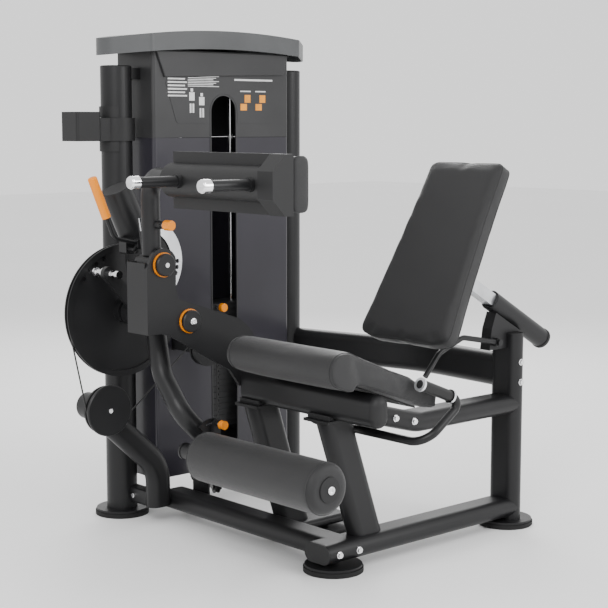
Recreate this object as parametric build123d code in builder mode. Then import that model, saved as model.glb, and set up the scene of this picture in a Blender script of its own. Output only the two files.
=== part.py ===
# Selectorised leg extension and leg curl machine, in millimetres, +Z up.
# Heights are above the floor.  Local positions in the sections below are measured from the
# front tower pillar: along X towards the seat, and along Y towards the user's back.
from math import cos, radians, sin
import os
from build123d import *

os.makedirs("parts", exist_ok=True)

# ---- driving dimensions -------------------------------------------------------------------
ORIGIN_X = 555.0              # front pillar to the middle of the machine, across
ORIGIN_Y = 271.5
PILLAR_D = 101.6              # four-inch round tower tube
PILLAR_TOP = 1475.0
PILLAR_GAP = 730.0            # pillar centre to pillar centre
TUBE_W = 110.0                # flat-oval frame tube, wide side
TUBE_H = 60.0                 # flat-oval frame tube, narrow side
WALL = 3.0
FOOT_D = 178.0
FOOT_H = 14.0
FLANGE_H = 8.0
RAIL_Z = 62.0                 # centre height of the base rails
SEAT_X = 945.0                # the plane that the seat, back, roller and thigh pad share
SEAT_W = 460.0
KNEE_Y = -160.0
KNEE_Z = 722.0
CAM_X = 250.0                 # plane of the cam and of the front cable pulleys
CAM_R = 200.0                 # cable radius on the cam
THIGH_Y = -252.0
THIGH_Z = 893.0
PLATE_PITCH = 20.5
PLATE_COUNT = 21
STACK_Z = 250.0               # underside of the weight stack
CABLE_D = 5.0
RUN_GAP = 0.06                # running clearance on a radius
FREE_GAP = 0.6                # clearance between pieces that pass each other

# ---- derived places -----------------------------------------------------------------------
PILLAR_R = PILLAR_D / 2
MID_Y = PILLAR_GAP / 2
FLANGE_TOP = FOOT_H + FLANGE_H
RAIL_TOP = RAIL_Z + TUBE_H / 2
FRONT_RAIL_Y = 112.0
UPRIGHT_Y = 854.0
BEAM_Y = 62.0
BEAM_Z = 504.0
BEAM_H = 96.0
STACK_TOP = STACK_Z + PLATE_PITCH * PLATE_COUNT


def side_plane(x):
    """Plane across the machine: sketch x is along the machine, sketch y is height."""
    return Plane(origin=(x - ORIGIN_X, -ORIGIN_Y, 0), x_dir=(0, 1, 0), z_dir=(1, 0, 0))


def front_plane(y):
    """Plane along the machine: sketch x is across the machine, sketch y is height."""
    return Plane(origin=(-ORIGIN_X, y - ORIGIN_Y, 0), x_dir=(1, 0, 0), z_dir=(0, -1, 0))


def floor_plane(z):
    """Level plane at height z."""
    return Plane(origin=(-ORIGIN_X, -ORIGIN_Y, z))


def turned_plane(point, x_dir, z_dir):
    """Plane at a local point, with its own directions."""
    px, py, pz = point
    return Plane(origin=(px - ORIGIN_X, py - ORIGIN_Y, pz), x_dir=x_dir, z_dir=z_dir)


def save(builder, name):
    """Label one finished piece and write its file."""
    builder.part.label = name
    export_step(builder.part, f"parts/{name}.step")


def rod(point, direction, length, radius, bore=0.0):
    """Straight round bar or tube from a local point, made apart from any open block."""
    side = (0, 0, 1) if abs(direction[2]) < 0.9 else (1, 0, 0)
    with BuildPart(mode=Mode.PRIVATE) as bar:
        with BuildSketch(turned_plane(point, side, direction)):
            Circle(radius)
            if bore:
                Circle(bore, mode=Mode.SUBTRACT)
        extrude(amount=length)
    return bar.part


def swept(plane, points, radii, section_x, section_z, sketch):
    """Bar of one section along straight runs joined by tangent arcs."""
    with BuildPart(mode=Mode.PRIVATE) as bar:
        with BuildLine(plane) as route:
            if len(points) == 2:
                Line(*points)
            else:
                FilletPolyline(*points, radius=radii)
        start = route.line @ 0
        with BuildSketch(Plane(origin=start, x_dir=section_x, z_dir=section_z)):
            sketch()
        sweep(path=route.line)
    return bar.part


def oval(width, height):
    """Section of a flat-oval tube, wide side along the sketch's x."""
    def draw():
        SlotOverall(width, height)
    return draw


def hollow_oval(width, height, wall=WALL):
    """Flat-oval tube wall."""
    def draw():
        SlotOverall(width, height)
        SlotOverall(width - 2 * wall, height - 2 * wall, mode=Mode.SUBTRACT)
    return draw


def ring(radius, bore=0.0):
    """Round section, hollow when a bore is given."""
    def draw():
        Circle(radius)
        if bore:
            Circle(bore, mode=Mode.SUBTRACT)
    return draw


# ---- base frame -----------------------------------------------------------------------------
# Closed outlines of the frame tubes, used to fit one tube's end to the next one's wall.
X_AXIS = (1, 0, 0)
Y_AXIS = (0, 1, 0)
Z_AXIS = (0, 0, 1)
SIDE_RAIL_START = 28.0
side_rail_run = [(SEAT_X, SIDE_RAIL_START, RAIL_Z), (SEAT_X, UPRIGHT_Y, RAIL_Z)]
side_rail_outer = swept(floor_plane(0), side_rail_run, [], X_AXIS, Y_AXIS, oval(TUBE_W, TUBE_H))
UPRIGHT_TOP = 628.0
upright_run = [(SEAT_X, UPRIGHT_Y, FLANGE_TOP), (SEAT_X, UPRIGHT_Y, UPRIGHT_TOP)]
upright_outer = swept(floor_plane(0), upright_run, [], X_AXIS, Z_AXIS, oval(TUBE_W, TUBE_H))
FRONT_RAIL_START = 145.0
front_rail_run = [(FRONT_RAIL_START, FRONT_RAIL_Y, RAIL_Z), (SEAT_X, FRONT_RAIL_Y, RAIL_Z)]
front_rail_outer = swept(floor_plane(0), front_rail_run, [], Y_AXIS, X_AXIS, oval(TUBE_W, TUBE_H))
BEAM_START = 592.0
BEAM_END = 1150.0
beam_run = [(BEAM_START, BEAM_Y, BEAM_Z), (BEAM_END, BEAM_Y, BEAM_Z)]
beam_outer = swept(floor_plane(0), beam_run, [], Z_AXIS, X_AXIS, oval(BEAM_H, TUBE_H))
pillar_outer = rod((0, PILLAR_GAP, FLANGE_TOP), Z_AXIS, PILLAR_TOP - FLANGE_TOP, PILLAR_R)
front_pillar_outer = rod((0, 0, FLANGE_TOP), Z_AXIS, PILLAR_TOP - FLANGE_TOP, PILLAR_R)

with BuildPart() as side_rail:
    add(swept(floor_plane(0), side_rail_run, [], X_AXIS, Y_AXIS, hollow_oval(TUBE_W, TUBE_H)))
    add(upright_outer, mode=Mode.SUBTRACT)
save(side_rail, "side_rail")

with BuildPart() as front_rail:
    add(swept(floor_plane(0), front_rail_run, [], Y_AXIS, X_AXIS, hollow_oval(TUBE_W, TUBE_H)))
    add(side_rail_outer, mode=Mode.SUBTRACT)
save(front_rail, "front_rail")

with BuildPart() as rear_upright:
    add(swept(floor_plane(0), upright_run, [], X_AXIS, Z_AXIS, hollow_oval(TUBE_W, TUBE_H)))
save(rear_upright, "rear_upright")

INNER_RAIL_X = 620.0
INNER_RAIL_H = 30.0
inner_rail_z = RAIL_Z - TUBE_H / 2 + INNER_RAIL_H / 2
inner_rail_run = [(INNER_RAIL_X, FRONT_RAIL_Y, inner_rail_z), (INNER_RAIL_X, 402.0, inner_rail_z)]
inner_rail_outer = swept(floor_plane(0), inner_rail_run, [], X_AXIS, Y_AXIS, oval(TUBE_W, INNER_RAIL_H))
with BuildPart() as inner_rail:
    add(swept(floor_plane(0), inner_rail_run, [], X_AXIS, Y_AXIS, hollow_oval(TUBE_W, INNER_RAIL_H)))
    add(front_rail_outer, mode=Mode.SUBTRACT)
save(inner_rail, "inner_rail")

LEG_W = 112.0
LEG_FOOT_Y = 212.0
LEG_TOP_Y = 88.0
LEG_TOP_Z = 448.0


def slanted_leg(x, foot_z, base_outer):
    """Flat-oval leg from a base rail up to the plate under the seat beam."""
    lean = (LEG_TOP_Y - LEG_FOOT_Y) / (LEG_TOP_Z - foot_z)
    low_z = foot_z - 20.0
    high_z = LEG_TOP_Z + 40.0
    low = (x, LEG_FOOT_Y - 20.0 * lean, low_z)
    high = (x, LEG_TOP_Y + 40.0 * lean, high_z)
    across = Vector(0, 1, -lean)
    along = Vector(0, lean, 1)
    with BuildPart(mode=Mode.PRIVATE) as leg:
        add(swept(floor_plane(0), [low, high], [], across, along, hollow_oval(LEG_W, TUBE_H)))
        with BuildSketch(floor_plane(LEG_TOP_Z)):
            with Locations((x, LEG_TOP_Y)):
                Rectangle(300, 300)
        extrude(amount=120, mode=Mode.SUBTRACT)
        with BuildSketch(floor_plane(low_z - 60)):
            with Locations((x, LEG_FOOT_Y)):
                Rectangle(300, 300)
        extrude(amount=foot_z - TUBE_H / 4 - low_z + 60, mode=Mode.SUBTRACT)
        add(base_outer, mode=Mode.SUBTRACT)
    return leg.part


with BuildPart() as near_leg:
    add(slanted_leg(SEAT_X, RAIL_TOP, side_rail_outer))

with BuildPart() as far_leg:
    add(slanted_leg(INNER_RAIL_X, RAIL_TOP - TUBE_H + INNER_RAIL_H, inner_rail_outer))


with BuildPart() as leg_plates:
    with BuildSketch(floor_plane(LEG_TOP_Z)):
        with Locations((SEAT_X, LEG_TOP_Y - 8), (INNER_RAIL_X + 12, LEG_TOP_Y - 8)):
            Rectangle(104, 124)
    extrude(amount=8)
    with BuildSketch(floor_plane(LEG_TOP_Z + 8)):
        with Locations((SEAT_X, BEAM_Y), (INNER_RAIL_X + 12, BEAM_Y)):
            Rectangle(90, TUBE_H)
    extrude(amount=14)
    add(beam_outer, mode=Mode.SUBTRACT)

with BuildPart() as seat_beam:
    add(swept(floor_plane(0), beam_run, [], Z_AXIS, X_AXIS, hollow_oval(BEAM_H, TUBE_H)))
    add(leg_plates.part)
save(seat_beam, "seat_beam")

MID_RAIL_Z = 401.0
mid_rail_points = [(BEAM_Y, 494.0), (404.0, MID_RAIL_Z), (UPRIGHT_Y, MID_RAIL_Z)]
mid_rail_way = (0, mid_rail_points[1][0] - BEAM_Y, MID_RAIL_Z - mid_rail_points[0][1])
mid_rail_outer = swept(
    side_plane(SEAT_X), mid_rail_points, [160.0], X_AXIS, mid_rail_way, oval(TUBE_W, TUBE_H)
)
mid_rail_wall = swept(
    side_plane(SEAT_X), mid_rail_points, [160.0], X_AXIS, mid_rail_way, hollow_oval(TUBE_W, TUBE_H)
)
with BuildPart() as mid_rail:
    add(mid_rail_wall)
    add(leg_plates.part, mode=Mode.SUBTRACT)
    add(beam_outer, mode=Mode.SUBTRACT)
    add(upright_outer, mode=Mode.SUBTRACT)
    with BuildSketch(side_plane(SEAT_X - 200)):
        with Locations((BEAM_Y - 80, 500)):
            Rectangle(160, 300)
    extrude(amount=400, mode=Mode.SUBTRACT)
save(mid_rail, "mid_rail")

with BuildPart() as slanted_legs:
    add(near_leg.part)
    add(far_leg.part)
    add(front_rail_outer, mode=Mode.SUBTRACT)
    add(mid_rail_outer, mode=Mode.SUBTRACT)
save(slanted_legs, "slanted_legs")

CURVED_Z = 505.0
curved_points = [(0, 742.0), (560.0, 876.0), (SEAT_X, UPRIGHT_Y)]
with BuildPart() as curved_tube:
    add(
        swept(
            floor_plane(CURVED_Z),
            curved_points,
            [620.0],
            Z_AXIS,
            (560.0, 134.0, 0),
            hollow_oval(TUBE_W, TUBE_H),
        )
    )
    add(pillar_outer, mode=Mode.SUBTRACT)
    add(upright_outer, mode=Mode.SUBTRACT)
    with BuildSketch(floor_plane(CURVED_Z - 100)):
        with Locations((-100, PILLAR_GAP), (SEAT_X + 100, UPRIGHT_Y)):
            Rectangle(200, 300)
    extrude(amount=200, mode=Mode.SUBTRACT)
save(curved_tube, "curved_tube")

ARM_X = 175.0
ARM_W = 84.0
P1_Y = -226.0
P1_Z = 415.0
P1_R = 70.0
arm_points = [(P1_Y, P1_Z), (21.0, 187.0), (21.0, RAIL_Z - 8)]
with BuildPart() as pulley_arm:
    add(
        swept(
            side_plane(ARM_X),
            arm_points,
            [130.0],
            (0, 187.0 - P1_Z, P1_Y - 21.0),
            (0, 21.0 - P1_Y, 187.0 - P1_Z),
            hollow_oval(ARM_W, TUBE_H),
        )
    )
    add(front_rail_outer, mode=Mode.SUBTRACT)
    add(rod((ARM_X - TUBE_H / 2, P1_Y, P1_Z), X_AXIS, TUBE_H, ARM_W / 2))
save(pulley_arm, "pulley_arm")

FOOT_PLACES = [
    (0.0, 0.0),
    (0.0, PILLAR_GAP),
    (SEAT_X, 89.0),
    (SEAT_X, UPRIGHT_Y),
    (INNER_RAIL_X, 347.0),
]
with BuildPart() as foot_pads:
    with BuildSketch(floor_plane(0)):
        with Locations(*FOOT_PLACES):
            Circle(FOOT_D / 2)
    extrude(amount=FOOT_H)
    chamfer(foot_pads.faces().sort_by(Axis.Z)[0:1].edges(), length=2)
save(foot_pads, "foot_pads")

with BuildPart() as foot_flanges:
    with BuildSketch(floor_plane(FOOT_H)):
        with Locations(*FOOT_PLACES):
            Circle(FOOT_D / 2 - 4)
    extrude(amount=FLANGE_H)
    with BuildSketch(floor_plane(FLANGE_TOP)):
        with Locations(FOOT_PLACES[2], FOOT_PLACES[4]):
            Circle(16)
    extrude(amount=RAIL_Z - TUBE_H / 2 - FLANGE_TOP)
save(foot_flanges, "foot_flanges")

CAP_T = 4.0
with BuildPart() as rail_end_caps:
    with BuildSketch(front_plane(SIDE_RAIL_START)):
        with Locations((SEAT_X, RAIL_Z)):
            SlotOverall(TUBE_W - 1, TUBE_H - 1)
    extrude(amount=CAP_T)
    with BuildSketch(front_plane(inner_rail_run[1][1] + CAP_T)):
        with Locations((INNER_RAIL_X, inner_rail_z)):
            SlotOverall(TUBE_W - 1, INNER_RAIL_H - 1)
    extrude(amount=CAP_T)
    with BuildSketch(floor_plane(UPRIGHT_TOP)):
        with Locations((SEAT_X, UPRIGHT_Y)):
            SlotOverall(TUBE_W - 1, TUBE_H - 1)
    extrude(amount=CAP_T)
    with BuildSketch(side_plane(FRONT_RAIL_START - CAP_T)):
        with Locations((FRONT_RAIL_Y, RAIL_Z)):
            SlotOverall(TUBE_W - 1, TUBE_H - 1)
    extrude(amount=CAP_T)

BEAM_DOME = 26.0
with BuildPart() as beam_end_cap:
    with BuildSketch(side_plane(BEAM_END)):
        with Locations((BEAM_Y, BEAM_Z)):
            SlotOverall(BEAM_H - 0.6, TUBE_H - 0.6, rotation=90)
    extrude(amount=BEAM_DOME)
    fillet(beam_end_cap.faces().sort_by(Axis.X)[-1].edges(), radius=BEAM_DOME - 1)

CONNECT_Y = 21.0
CONNECT_X = ARM_X - TUBE_H / 2
with BuildPart() as tower_bracket:
    with BuildSketch(side_plane(0)):
        with Locations((CONNECT_Y, RAIL_Z + 10)):
            RectangleRounded(46, 50, 6)
    extrude(amount=CONNECT_X)
    add(front_pillar_outer, mode=Mode.SUBTRACT)
    with BuildSketch(side_plane(-120)):
        with Locations((CONNECT_Y, RAIL_Z + 10)):
            Rectangle(120, 120)
    extrude(amount=130, mode=Mode.SUBTRACT)

# ---- tower ----------------------------------------------------------------------------------
with BuildPart() as tower_pillars:
    with BuildSketch(floor_plane(FLANGE_TOP)):
        with Locations((0, 0), (0, PILLAR_GAP)):
            Circle(PILLAR_R)
            Circle(PILLAR_R - WALL, mode=Mode.SUBTRACT)
    extrude(amount=PILLAR_TOP - FLANGE_TOP)
save(tower_pillars, "tower_pillars")

with BuildPart() as pillar_caps:
    with BuildSketch(floor_plane(PILLAR_TOP)):
        with Locations((0, 0), (0, PILLAR_GAP)):
            Circle(PILLAR_R)
    extrude(amount=7)
    chamfer(pillar_caps.faces().sort_by(Axis.Z)[-2:].edges(), length=3)

SHROUD_X = 100.0
SHROUD_BACK = -105.0
SHROUD_SIDE = 75.0
SHROUD_TOP = 1508.0
NECK_H = 24.0
SPLIT_Z = 1250.0
PANEL_Z = 118.0
SHEET = 3.0
SLOT_W = 105.0
SLOT_TOP = 1388.0
LOW_Y = SHROUD_SIDE
HIGH_Y = PILLAR_GAP - SHROUD_SIDE

BASE_Z = 170.0
ROD_GAP = 220.0
ROD_R = 10.0
ROD_PLACES = [(0, MID_Y - ROD_GAP / 2), (0, MID_Y + ROD_GAP / 2)]
TOP_RAIL_Z = 1440.0
TOP_RAIL_H = 35.0
CHANNEL_Z = 120.0
with BuildPart() as tower_base:
    with BuildSketch(floor_plane(BASE_Z)):
        with Locations((0, MID_Y)):
            Rectangle(60, PILLAR_GAP)
        with Locations((30 + 16, LOW_Y + 28), (30 + 16, HIGH_Y - 28)):
            Rectangle(34, 40)
    extrude(amount=60)
    with BuildSketch(floor_plane(CHANNEL_Z)):
        with Locations((78, MID_Y)):
            Rectangle(32, HIGH_Y - LOW_Y - 20)
    extrude(amount=30)
    with BuildSketch(floor_plane(CHANNEL_Z + 30)):
        with Locations((78, LOW_Y + 28), (78, HIGH_Y - 28)):
            Rectangle(32, 40)
    extrude(amount=BASE_Z + 60 - CHANNEL_Z - 30)
    add(pillar_outer, mode=Mode.SUBTRACT)
    add(front_pillar_outer, mode=Mode.SUBTRACT)
    with BuildSketch(floor_plane(BASE_Z - 1)):
        with Locations(*ROD_PLACES):
            Circle(ROD_R)
    extrude(amount=62, mode=Mode.SUBTRACT)

with BuildPart() as tower_top:
    with BuildSketch(floor_plane(TOP_RAIL_Z)):
        with Locations((0, MID_Y)):
            Rectangle(60, PILLAR_GAP)
        with Locations((58, MID_Y)):
            Rectangle(72, HIGH_Y - LOW_Y - 12)
        with Locations((58, MID_Y)):
            Rectangle(40, HIGH_Y - LOW_Y - 90, mode=Mode.SUBTRACT)
        with Locations(*ROD_PLACES):
            Circle(ROD_R, mode=Mode.SUBTRACT)
    extrude(amount=TOP_RAIL_H)
    add(pillar_outer, mode=Mode.SUBTRACT)
    add(front_pillar_outer, mode=Mode.SUBTRACT)

with BuildPart() as tower_rails:
    add(tower_base.part)
    add(tower_top.part)
    add(tower_bracket.part)
save(tower_rails, "tower_rails")

with BuildPart() as guide_rods:
    with BuildSketch(floor_plane(BASE_Z)):
        with Locations(*ROD_PLACES):
            Circle(ROD_R)
    extrude(amount=TOP_RAIL_Z + TOP_RAIL_H - BASE_Z)
save(guide_rods, "guide_rods")

with BuildPart() as stack_bumpers:
    with BuildSketch(floor_plane(BASE_Z + 60)):
        with Locations(*ROD_PLACES):
            Circle(30)
            Circle(ROD_R, mode=Mode.SUBTRACT)
    extrude(amount=STACK_Z - BASE_Z - 60)
save(stack_bumpers, "stack_bumpers")

PLATE_W = 300.0
PLATE_D = 118.0
PIN_R = 4.75
STEM_R = 13.0
PIN_Z = STACK_TOP - PLATE_PITCH / 2


def weight_plate(index):
    """One weight plate, counted from the bottom, with its rod, stem and pin holes."""
    base = STACK_Z + index * PLATE_PITCH
    with BuildPart(mode=Mode.PRIVATE) as plate:
        with BuildSketch(floor_plane(base)):
            with Locations((0, MID_Y)):
                Rectangle(PLATE_D, PLATE_W)
                Circle(STEM_R + FREE_GAP, mode=Mode.SUBTRACT)
            with Locations(*ROD_PLACES):
                Circle(ROD_R + FREE_GAP, mode=Mode.SUBTRACT)
        extrude(amount=PLATE_PITCH - 0.5)
        chamfer(plate.faces().sort_by(Axis.Z)[-1].outer_wire().edges(), length=1.6)
        with BuildSketch(side_plane(0)):
            with Locations((MID_Y, base + PLATE_PITCH / 2)):
                Circle(PIN_R + FREE_GAP)
        extrude(amount=PLATE_D, mode=Mode.SUBTRACT)
    return plate.part


with BuildPart() as resting_plates:
    for number in range(PLATE_COUNT - 1):
        add(weight_plate(number))
save(resting_plates, "resting_plates")

STEM_LOW = STACK_Z + 6.0
BLOCK_H = 70.0
with BuildPart() as lifted_plate:
    add(weight_plate(PLATE_COUNT - 1))

with BuildPart() as lift_stem:
    with BuildSketch(floor_plane(STEM_LOW)):
        with Locations((0, MID_Y)):
            Circle(STEM_R)
    extrude(amount=STACK_TOP - 0.5 - STEM_LOW)
    with BuildSketch(floor_plane(STACK_TOP - 0.5)):
        with Locations((0, MID_Y)):
            Circle(16)
    extrude(amount=BLOCK_H)
    chamfer(lift_stem.faces().sort_by(Axis.Z)[-1].edges(), length=3)
    with BuildSketch(side_plane(-STEM_R - 1)):
        for number in range(PLATE_COUNT):
            with Locations((MID_Y, STACK_Z + (number + 0.5) * PLATE_PITCH)):
                Circle(PIN_R + FREE_GAP)
    extrude(amount=2 * STEM_R + 2, mode=Mode.SUBTRACT)

with BuildPart() as lifted_weight:
    add(lifted_plate.part)
    add(lift_stem.part)
    add(rod((-STEM_R - 9, MID_Y, PIN_Z), X_AXIS, 2 * STEM_R + 40, PIN_R + FREE_GAP), mode=Mode.SUBTRACT)
save(lifted_weight, "lifted_weight")

with BuildPart() as selector_pin:
    add(rod((-STEM_R - 3, MID_Y, PIN_Z), X_AXIS, PLATE_D / 2 + STEM_R + 3 + 8, PIN_R))
    add(rod((PLATE_D / 2 + 4, MID_Y, PIN_Z), X_AXIS, 22, 8))
    add(rod((PLATE_D / 2 + 26, MID_Y, PIN_Z), X_AXIS, 16, 15))
    fillet(selector_pin.faces().sort_by(Axis.X)[-1].edges(), radius=4)
save(selector_pin, "selector_pin")

with BuildPart() as upper_shroud:
    with BuildSketch(floor_plane(SPLIT_Z)):
        with Locations(((SHROUD_X + SHROUD_BACK) / 2, MID_Y)):
            RectangleRounded(SHROUD_X - SHROUD_BACK, HIGH_Y - LOW_Y, 12)
            RectangleRounded(
                SHROUD_X - SHROUD_BACK - 2 * SHEET,
                HIGH_Y - LOW_Y - 2 * SHEET,
                12 - SHEET,
                mode=Mode.SUBTRACT,
            )
    extrude(amount=SHROUD_TOP + NECK_H - SPLIT_Z)
    with BuildSketch(side_plane(SHROUD_X - 10)):
        with Locations((MID_Y, SPLIT_Z)):
            Rectangle(SLOT_W, 2 * (SLOT_TOP - SPLIT_Z - SLOT_W / 2))
        with Locations((MID_Y, SLOT_TOP - SLOT_W / 2)):
            Circle(SLOT_W / 2)
    extrude(amount=20, mode=Mode.SUBTRACT)
    with BuildSketch(floor_plane(TOP_RAIL_Z - 1)):
        with Locations((0, MID_Y)):
            Rectangle(62, PILLAR_GAP)
    extrude(amount=TOP_RAIL_H + 2, mode=Mode.SUBTRACT)
save(upper_shroud, "upper_shroud")

POST_Y = 162.0
P2_Y = POST_Y
P2_Z = 570.0
P2_R = 50.0
with BuildPart() as lower_panels:
    with BuildSketch(floor_plane(PANEL_Z)):
        with Locations(((SHROUD_X + SHROUD_BACK) / 2, MID_Y)):
            RectangleRounded(SHROUD_X - SHROUD_BACK - 1, HIGH_Y - LOW_Y - 1, 12)
            RectangleRounded(
                SHROUD_X - SHROUD_BACK - 1 - 2 * SHEET,
                HIGH_Y - LOW_Y - 1 - 2 * SHEET,
                12 - SHEET,
                mode=Mode.SUBTRACT,
            )
        with Locations((SHROUD_X, MID_Y)):
            Rectangle(40, SLOT_W, mode=Mode.SUBTRACT)
        with Locations((SHROUD_BACK, MID_Y)):
            Rectangle(40, HIGH_Y - LOW_Y - 40, mode=Mode.SUBTRACT)
    extrude(amount=SPLIT_Z - PANEL_Z - 1)
    with BuildSketch(side_plane(SHROUD_X - 10)):
        with Locations((POST_Y, P2_Z)):
            Rectangle(46, 46)
    extrude(amount=20, mode=Mode.SUBTRACT)
    with BuildSketch(floor_plane(BASE_Z - 1)):
        with Locations((0, MID_Y)):
            Rectangle(62, PILLAR_GAP)
    extrude(amount=62, mode=Mode.SUBTRACT)

with BuildPart() as rear_panel:
    with BuildSketch(floor_plane(PANEL_Z)):
        with Locations((SHROUD_BACK + SHEET / 2 + 1, MID_Y)):
            Rectangle(SHEET, HIGH_Y - LOW_Y - 42)
    extrude(amount=SPLIT_Z - PANEL_Z - 1)

with BuildPart() as shroud_panels:
    add(lower_panels.part)
    add(rear_panel.part)
save(shroud_panels, "shroud_panels")

with BuildPart() as slot_trim:
    with BuildSketch(side_plane(SHROUD_X)):
        with Locations((MID_Y, (PANEL_Z + SLOT_TOP - SLOT_W / 2) / 2)):
            Rectangle(SLOT_W + 10, SLOT_TOP - SLOT_W / 2 - PANEL_Z)
        with Locations((MID_Y, SLOT_TOP - SLOT_W / 2)):
            Circle(SLOT_W / 2 + 5)
        with Locations((MID_Y, (PANEL_Z + SLOT_TOP - SLOT_W / 2) / 2 - 1)):
            Rectangle(SLOT_W, SLOT_TOP - SLOT_W / 2 - PANEL_Z + 2, mode=Mode.SUBTRACT)
        with Locations((MID_Y, SLOT_TOP - SLOT_W / 2)):
            Circle(SLOT_W / 2, mode=Mode.SUBTRACT)
    extrude(amount=1.5)

with BuildPart() as header_plate:
    with BuildSketch(side_plane(SHROUD_X)):
        with BuildLine():
            Polyline(
                (MID_Y - 280, SHROUD_TOP + NECK_H - 2),
                (MID_Y + 280, SHROUD_TOP + NECK_H - 2),
                (MID_Y + 262, SHROUD_TOP - 46),
                (MID_Y - 246, SHROUD_TOP - 62),
                close=True,
            )
        make_face()
    extrude(amount=9)
    chamfer(header_plate.faces().sort_by(Axis.X)[-1].edges(), length=2)

with BuildPart() as placard:
    with BuildSketch(side_plane(SHROUD_X)):
        with BuildLine():
            FilletPolyline(
                (MID_Y - 244, SHROUD_TOP - 66),
                (MID_Y + 262, SHROUD_TOP - 50),
                (MID_Y + 208, SHROUD_TOP - 212),
                (MID_Y - 196, SHROUD_TOP - 212),
                radius=14,
                close=True,
            )
        make_face()
        with Locations((MID_Y, SLOT_TOP - SLOT_W / 2)):
            Circle(SLOT_W / 2 + 7, mode=Mode.SUBTRACT)
        with Locations((MID_Y, SLOT_TOP - SLOT_W)):
            Rectangle(SLOT_W + 14, SLOT_W, mode=Mode.SUBTRACT)
    extrude(amount=1.2)

with BuildPart() as front_header:
    add(header_plate.part)
    add(placard.part)
    add(slot_trim.part)
save(front_header, "front_header")

CROWN_HALF = 440.0
CROWN_LOW = 1512.0
CROWN_RISE = 28.0
CROWN_EDGE = 54.0
CROWN_FRONT = 130.0
CROWN_BACK = -110.0
CROWN_WALL = 5.0


def crown_plan(height, inset):
    """Plan of the crown at a height: wide over the shroud and narrow round each pillar."""
    with BuildSketch(floor_plane(height)) as plan:
        for y in (0, PILLAR_GAP):
            with Locations((0, y)):
                Circle(PILLAR_R + 11 - inset)
        for x in (CROWN_BACK + 24, CROWN_FRONT - 24):
            for y in (60, PILLAR_GAP - 60):
                with Locations((x, y)):
                    Circle(24 - inset)
        make_hull()
    return plan.sketch


with BuildPart() as crown_cavity:
    add(crown_plan(CROWN_LOW - 25, CROWN_WALL))
    extrude(amount=25 + CROWN_EDGE + CROWN_RISE)
    with BuildSketch(side_plane(CROWN_BACK - 5)):
        with BuildLine():
            Line((MID_Y - CROWN_HALF, CROWN_LOW - 30), (MID_Y + CROWN_HALF, CROWN_LOW - 30))
            Line((MID_Y + CROWN_HALF, CROWN_LOW - 30), (MID_Y + CROWN_HALF, CROWN_LOW + 24))
            ThreePointArc(
                (MID_Y + CROWN_HALF, CROWN_LOW + 24),
                (MID_Y, CROWN_LOW + 24 + CROWN_RISE),
                (MID_Y - CROWN_HALF, CROWN_LOW + 24),
            )
            Line((MID_Y - CROWN_HALF, CROWN_LOW + 24), (MID_Y - CROWN_HALF, CROWN_LOW - 30))
        make_face()
    extrude(amount=CROWN_FRONT - CROWN_BACK + 10, mode=Mode.INTERSECT)

with BuildPart() as crown:
    add(crown_plan(CROWN_LOW - 5, 0))
    extrude(amount=CROWN_EDGE + 2 * CROWN_RISE)
    with BuildSketch(side_plane(CROWN_BACK - 5)):
        with BuildLine():
            ThreePointArc(
                (MID_Y - CROWN_HALF, CROWN_LOW),
                (MID_Y, CROWN_LOW + CROWN_RISE),
                (MID_Y + CROWN_HALF, CROWN_LOW),
            )
            Line((MID_Y + CROWN_HALF, CROWN_LOW), (MID_Y + CROWN_HALF, CROWN_LOW + CROWN_EDGE))
            ThreePointArc(
                (MID_Y + CROWN_HALF, CROWN_LOW + CROWN_EDGE),
                (MID_Y, CROWN_LOW + CROWN_EDGE + CROWN_RISE + 6),
                (MID_Y - CROWN_HALF, CROWN_LOW + CROWN_EDGE),
            )
            Line((MID_Y - CROWN_HALF, CROWN_LOW + CROWN_EDGE), (MID_Y - CROWN_HALF, CROWN_LOW))
        make_face()
    extrude(amount=CROWN_FRONT - CROWN_BACK + 10, mode=Mode.INTERSECT)
    add(crown_cavity.part, mode=Mode.SUBTRACT)
save(crown, "crown")

CUP_LOW = 1240.0
CUP_TOP = 1333.0
with BuildPart() as cup_holder:
    with BuildSketch(floor_plane(CUP_LOW)):
        with Locations((0, -136)):
            RectangleRounded(96, 92, 10)
    extrude(amount=CUP_TOP - CUP_LOW)
    with BuildSketch(floor_plane(CUP_LOW)):
        with Locations((0, -45)):
            Rectangle(70, 100)
        Circle(PILLAR_R + 9)
    extrude(amount=74)
    with BuildSketch(floor_plane(CUP_LOW + 4)):
        with Locations((0, -136)):
            RectangleRounded(88, 84, 7)
    extrude(amount=CUP_TOP, mode=Mode.SUBTRACT)
    with BuildSketch(floor_plane(CUP_LOW - 1)):
        Circle(PILLAR_R)
    extrude(amount=CUP_TOP, mode=Mode.SUBTRACT)

with BuildPart() as cup_straps:
    with BuildSketch(floor_plane(CUP_LOW - 34)):
        Circle(PILLAR_R + 5)
        Circle(PILLAR_R, mode=Mode.SUBTRACT)
        with Locations((0, 40)):
            Rectangle(140, 130, mode=Mode.SUBTRACT)
    extrude(amount=33)
    with BuildSketch(floor_plane(CUP_LOW + 75)):
        Circle(PILLAR_R + 5)
        Circle(PILLAR_R, mode=Mode.SUBTRACT)
        with Locations((0, 40)):
            Rectangle(140, 130, mode=Mode.SUBTRACT)
    extrude(amount=36)

with BuildPart() as drink_holder:
    add(cup_holder.part)
    add(cup_straps.part)
save(drink_holder, "drink_holder")

# ---- cable and pulleys ----------------------------------------------------------------------
P3_R = 35.0
P4_R = 35.0
TOP_R = 41.0
LOW_CABLE_Z = 75.0
RISER_X = -2 * TOP_R
TOP_PULLEY_Z = 1385.0
P3_Y = P2_Y + P2_R
run_length = ((CAM_X - RISER_X) ** 2 + (MID_Y - P3_Y) ** 2) ** 0.5
RUN_X = (RISER_X - CAM_X) / run_length
RUN_Y = (MID_Y - P3_Y) / run_length


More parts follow.
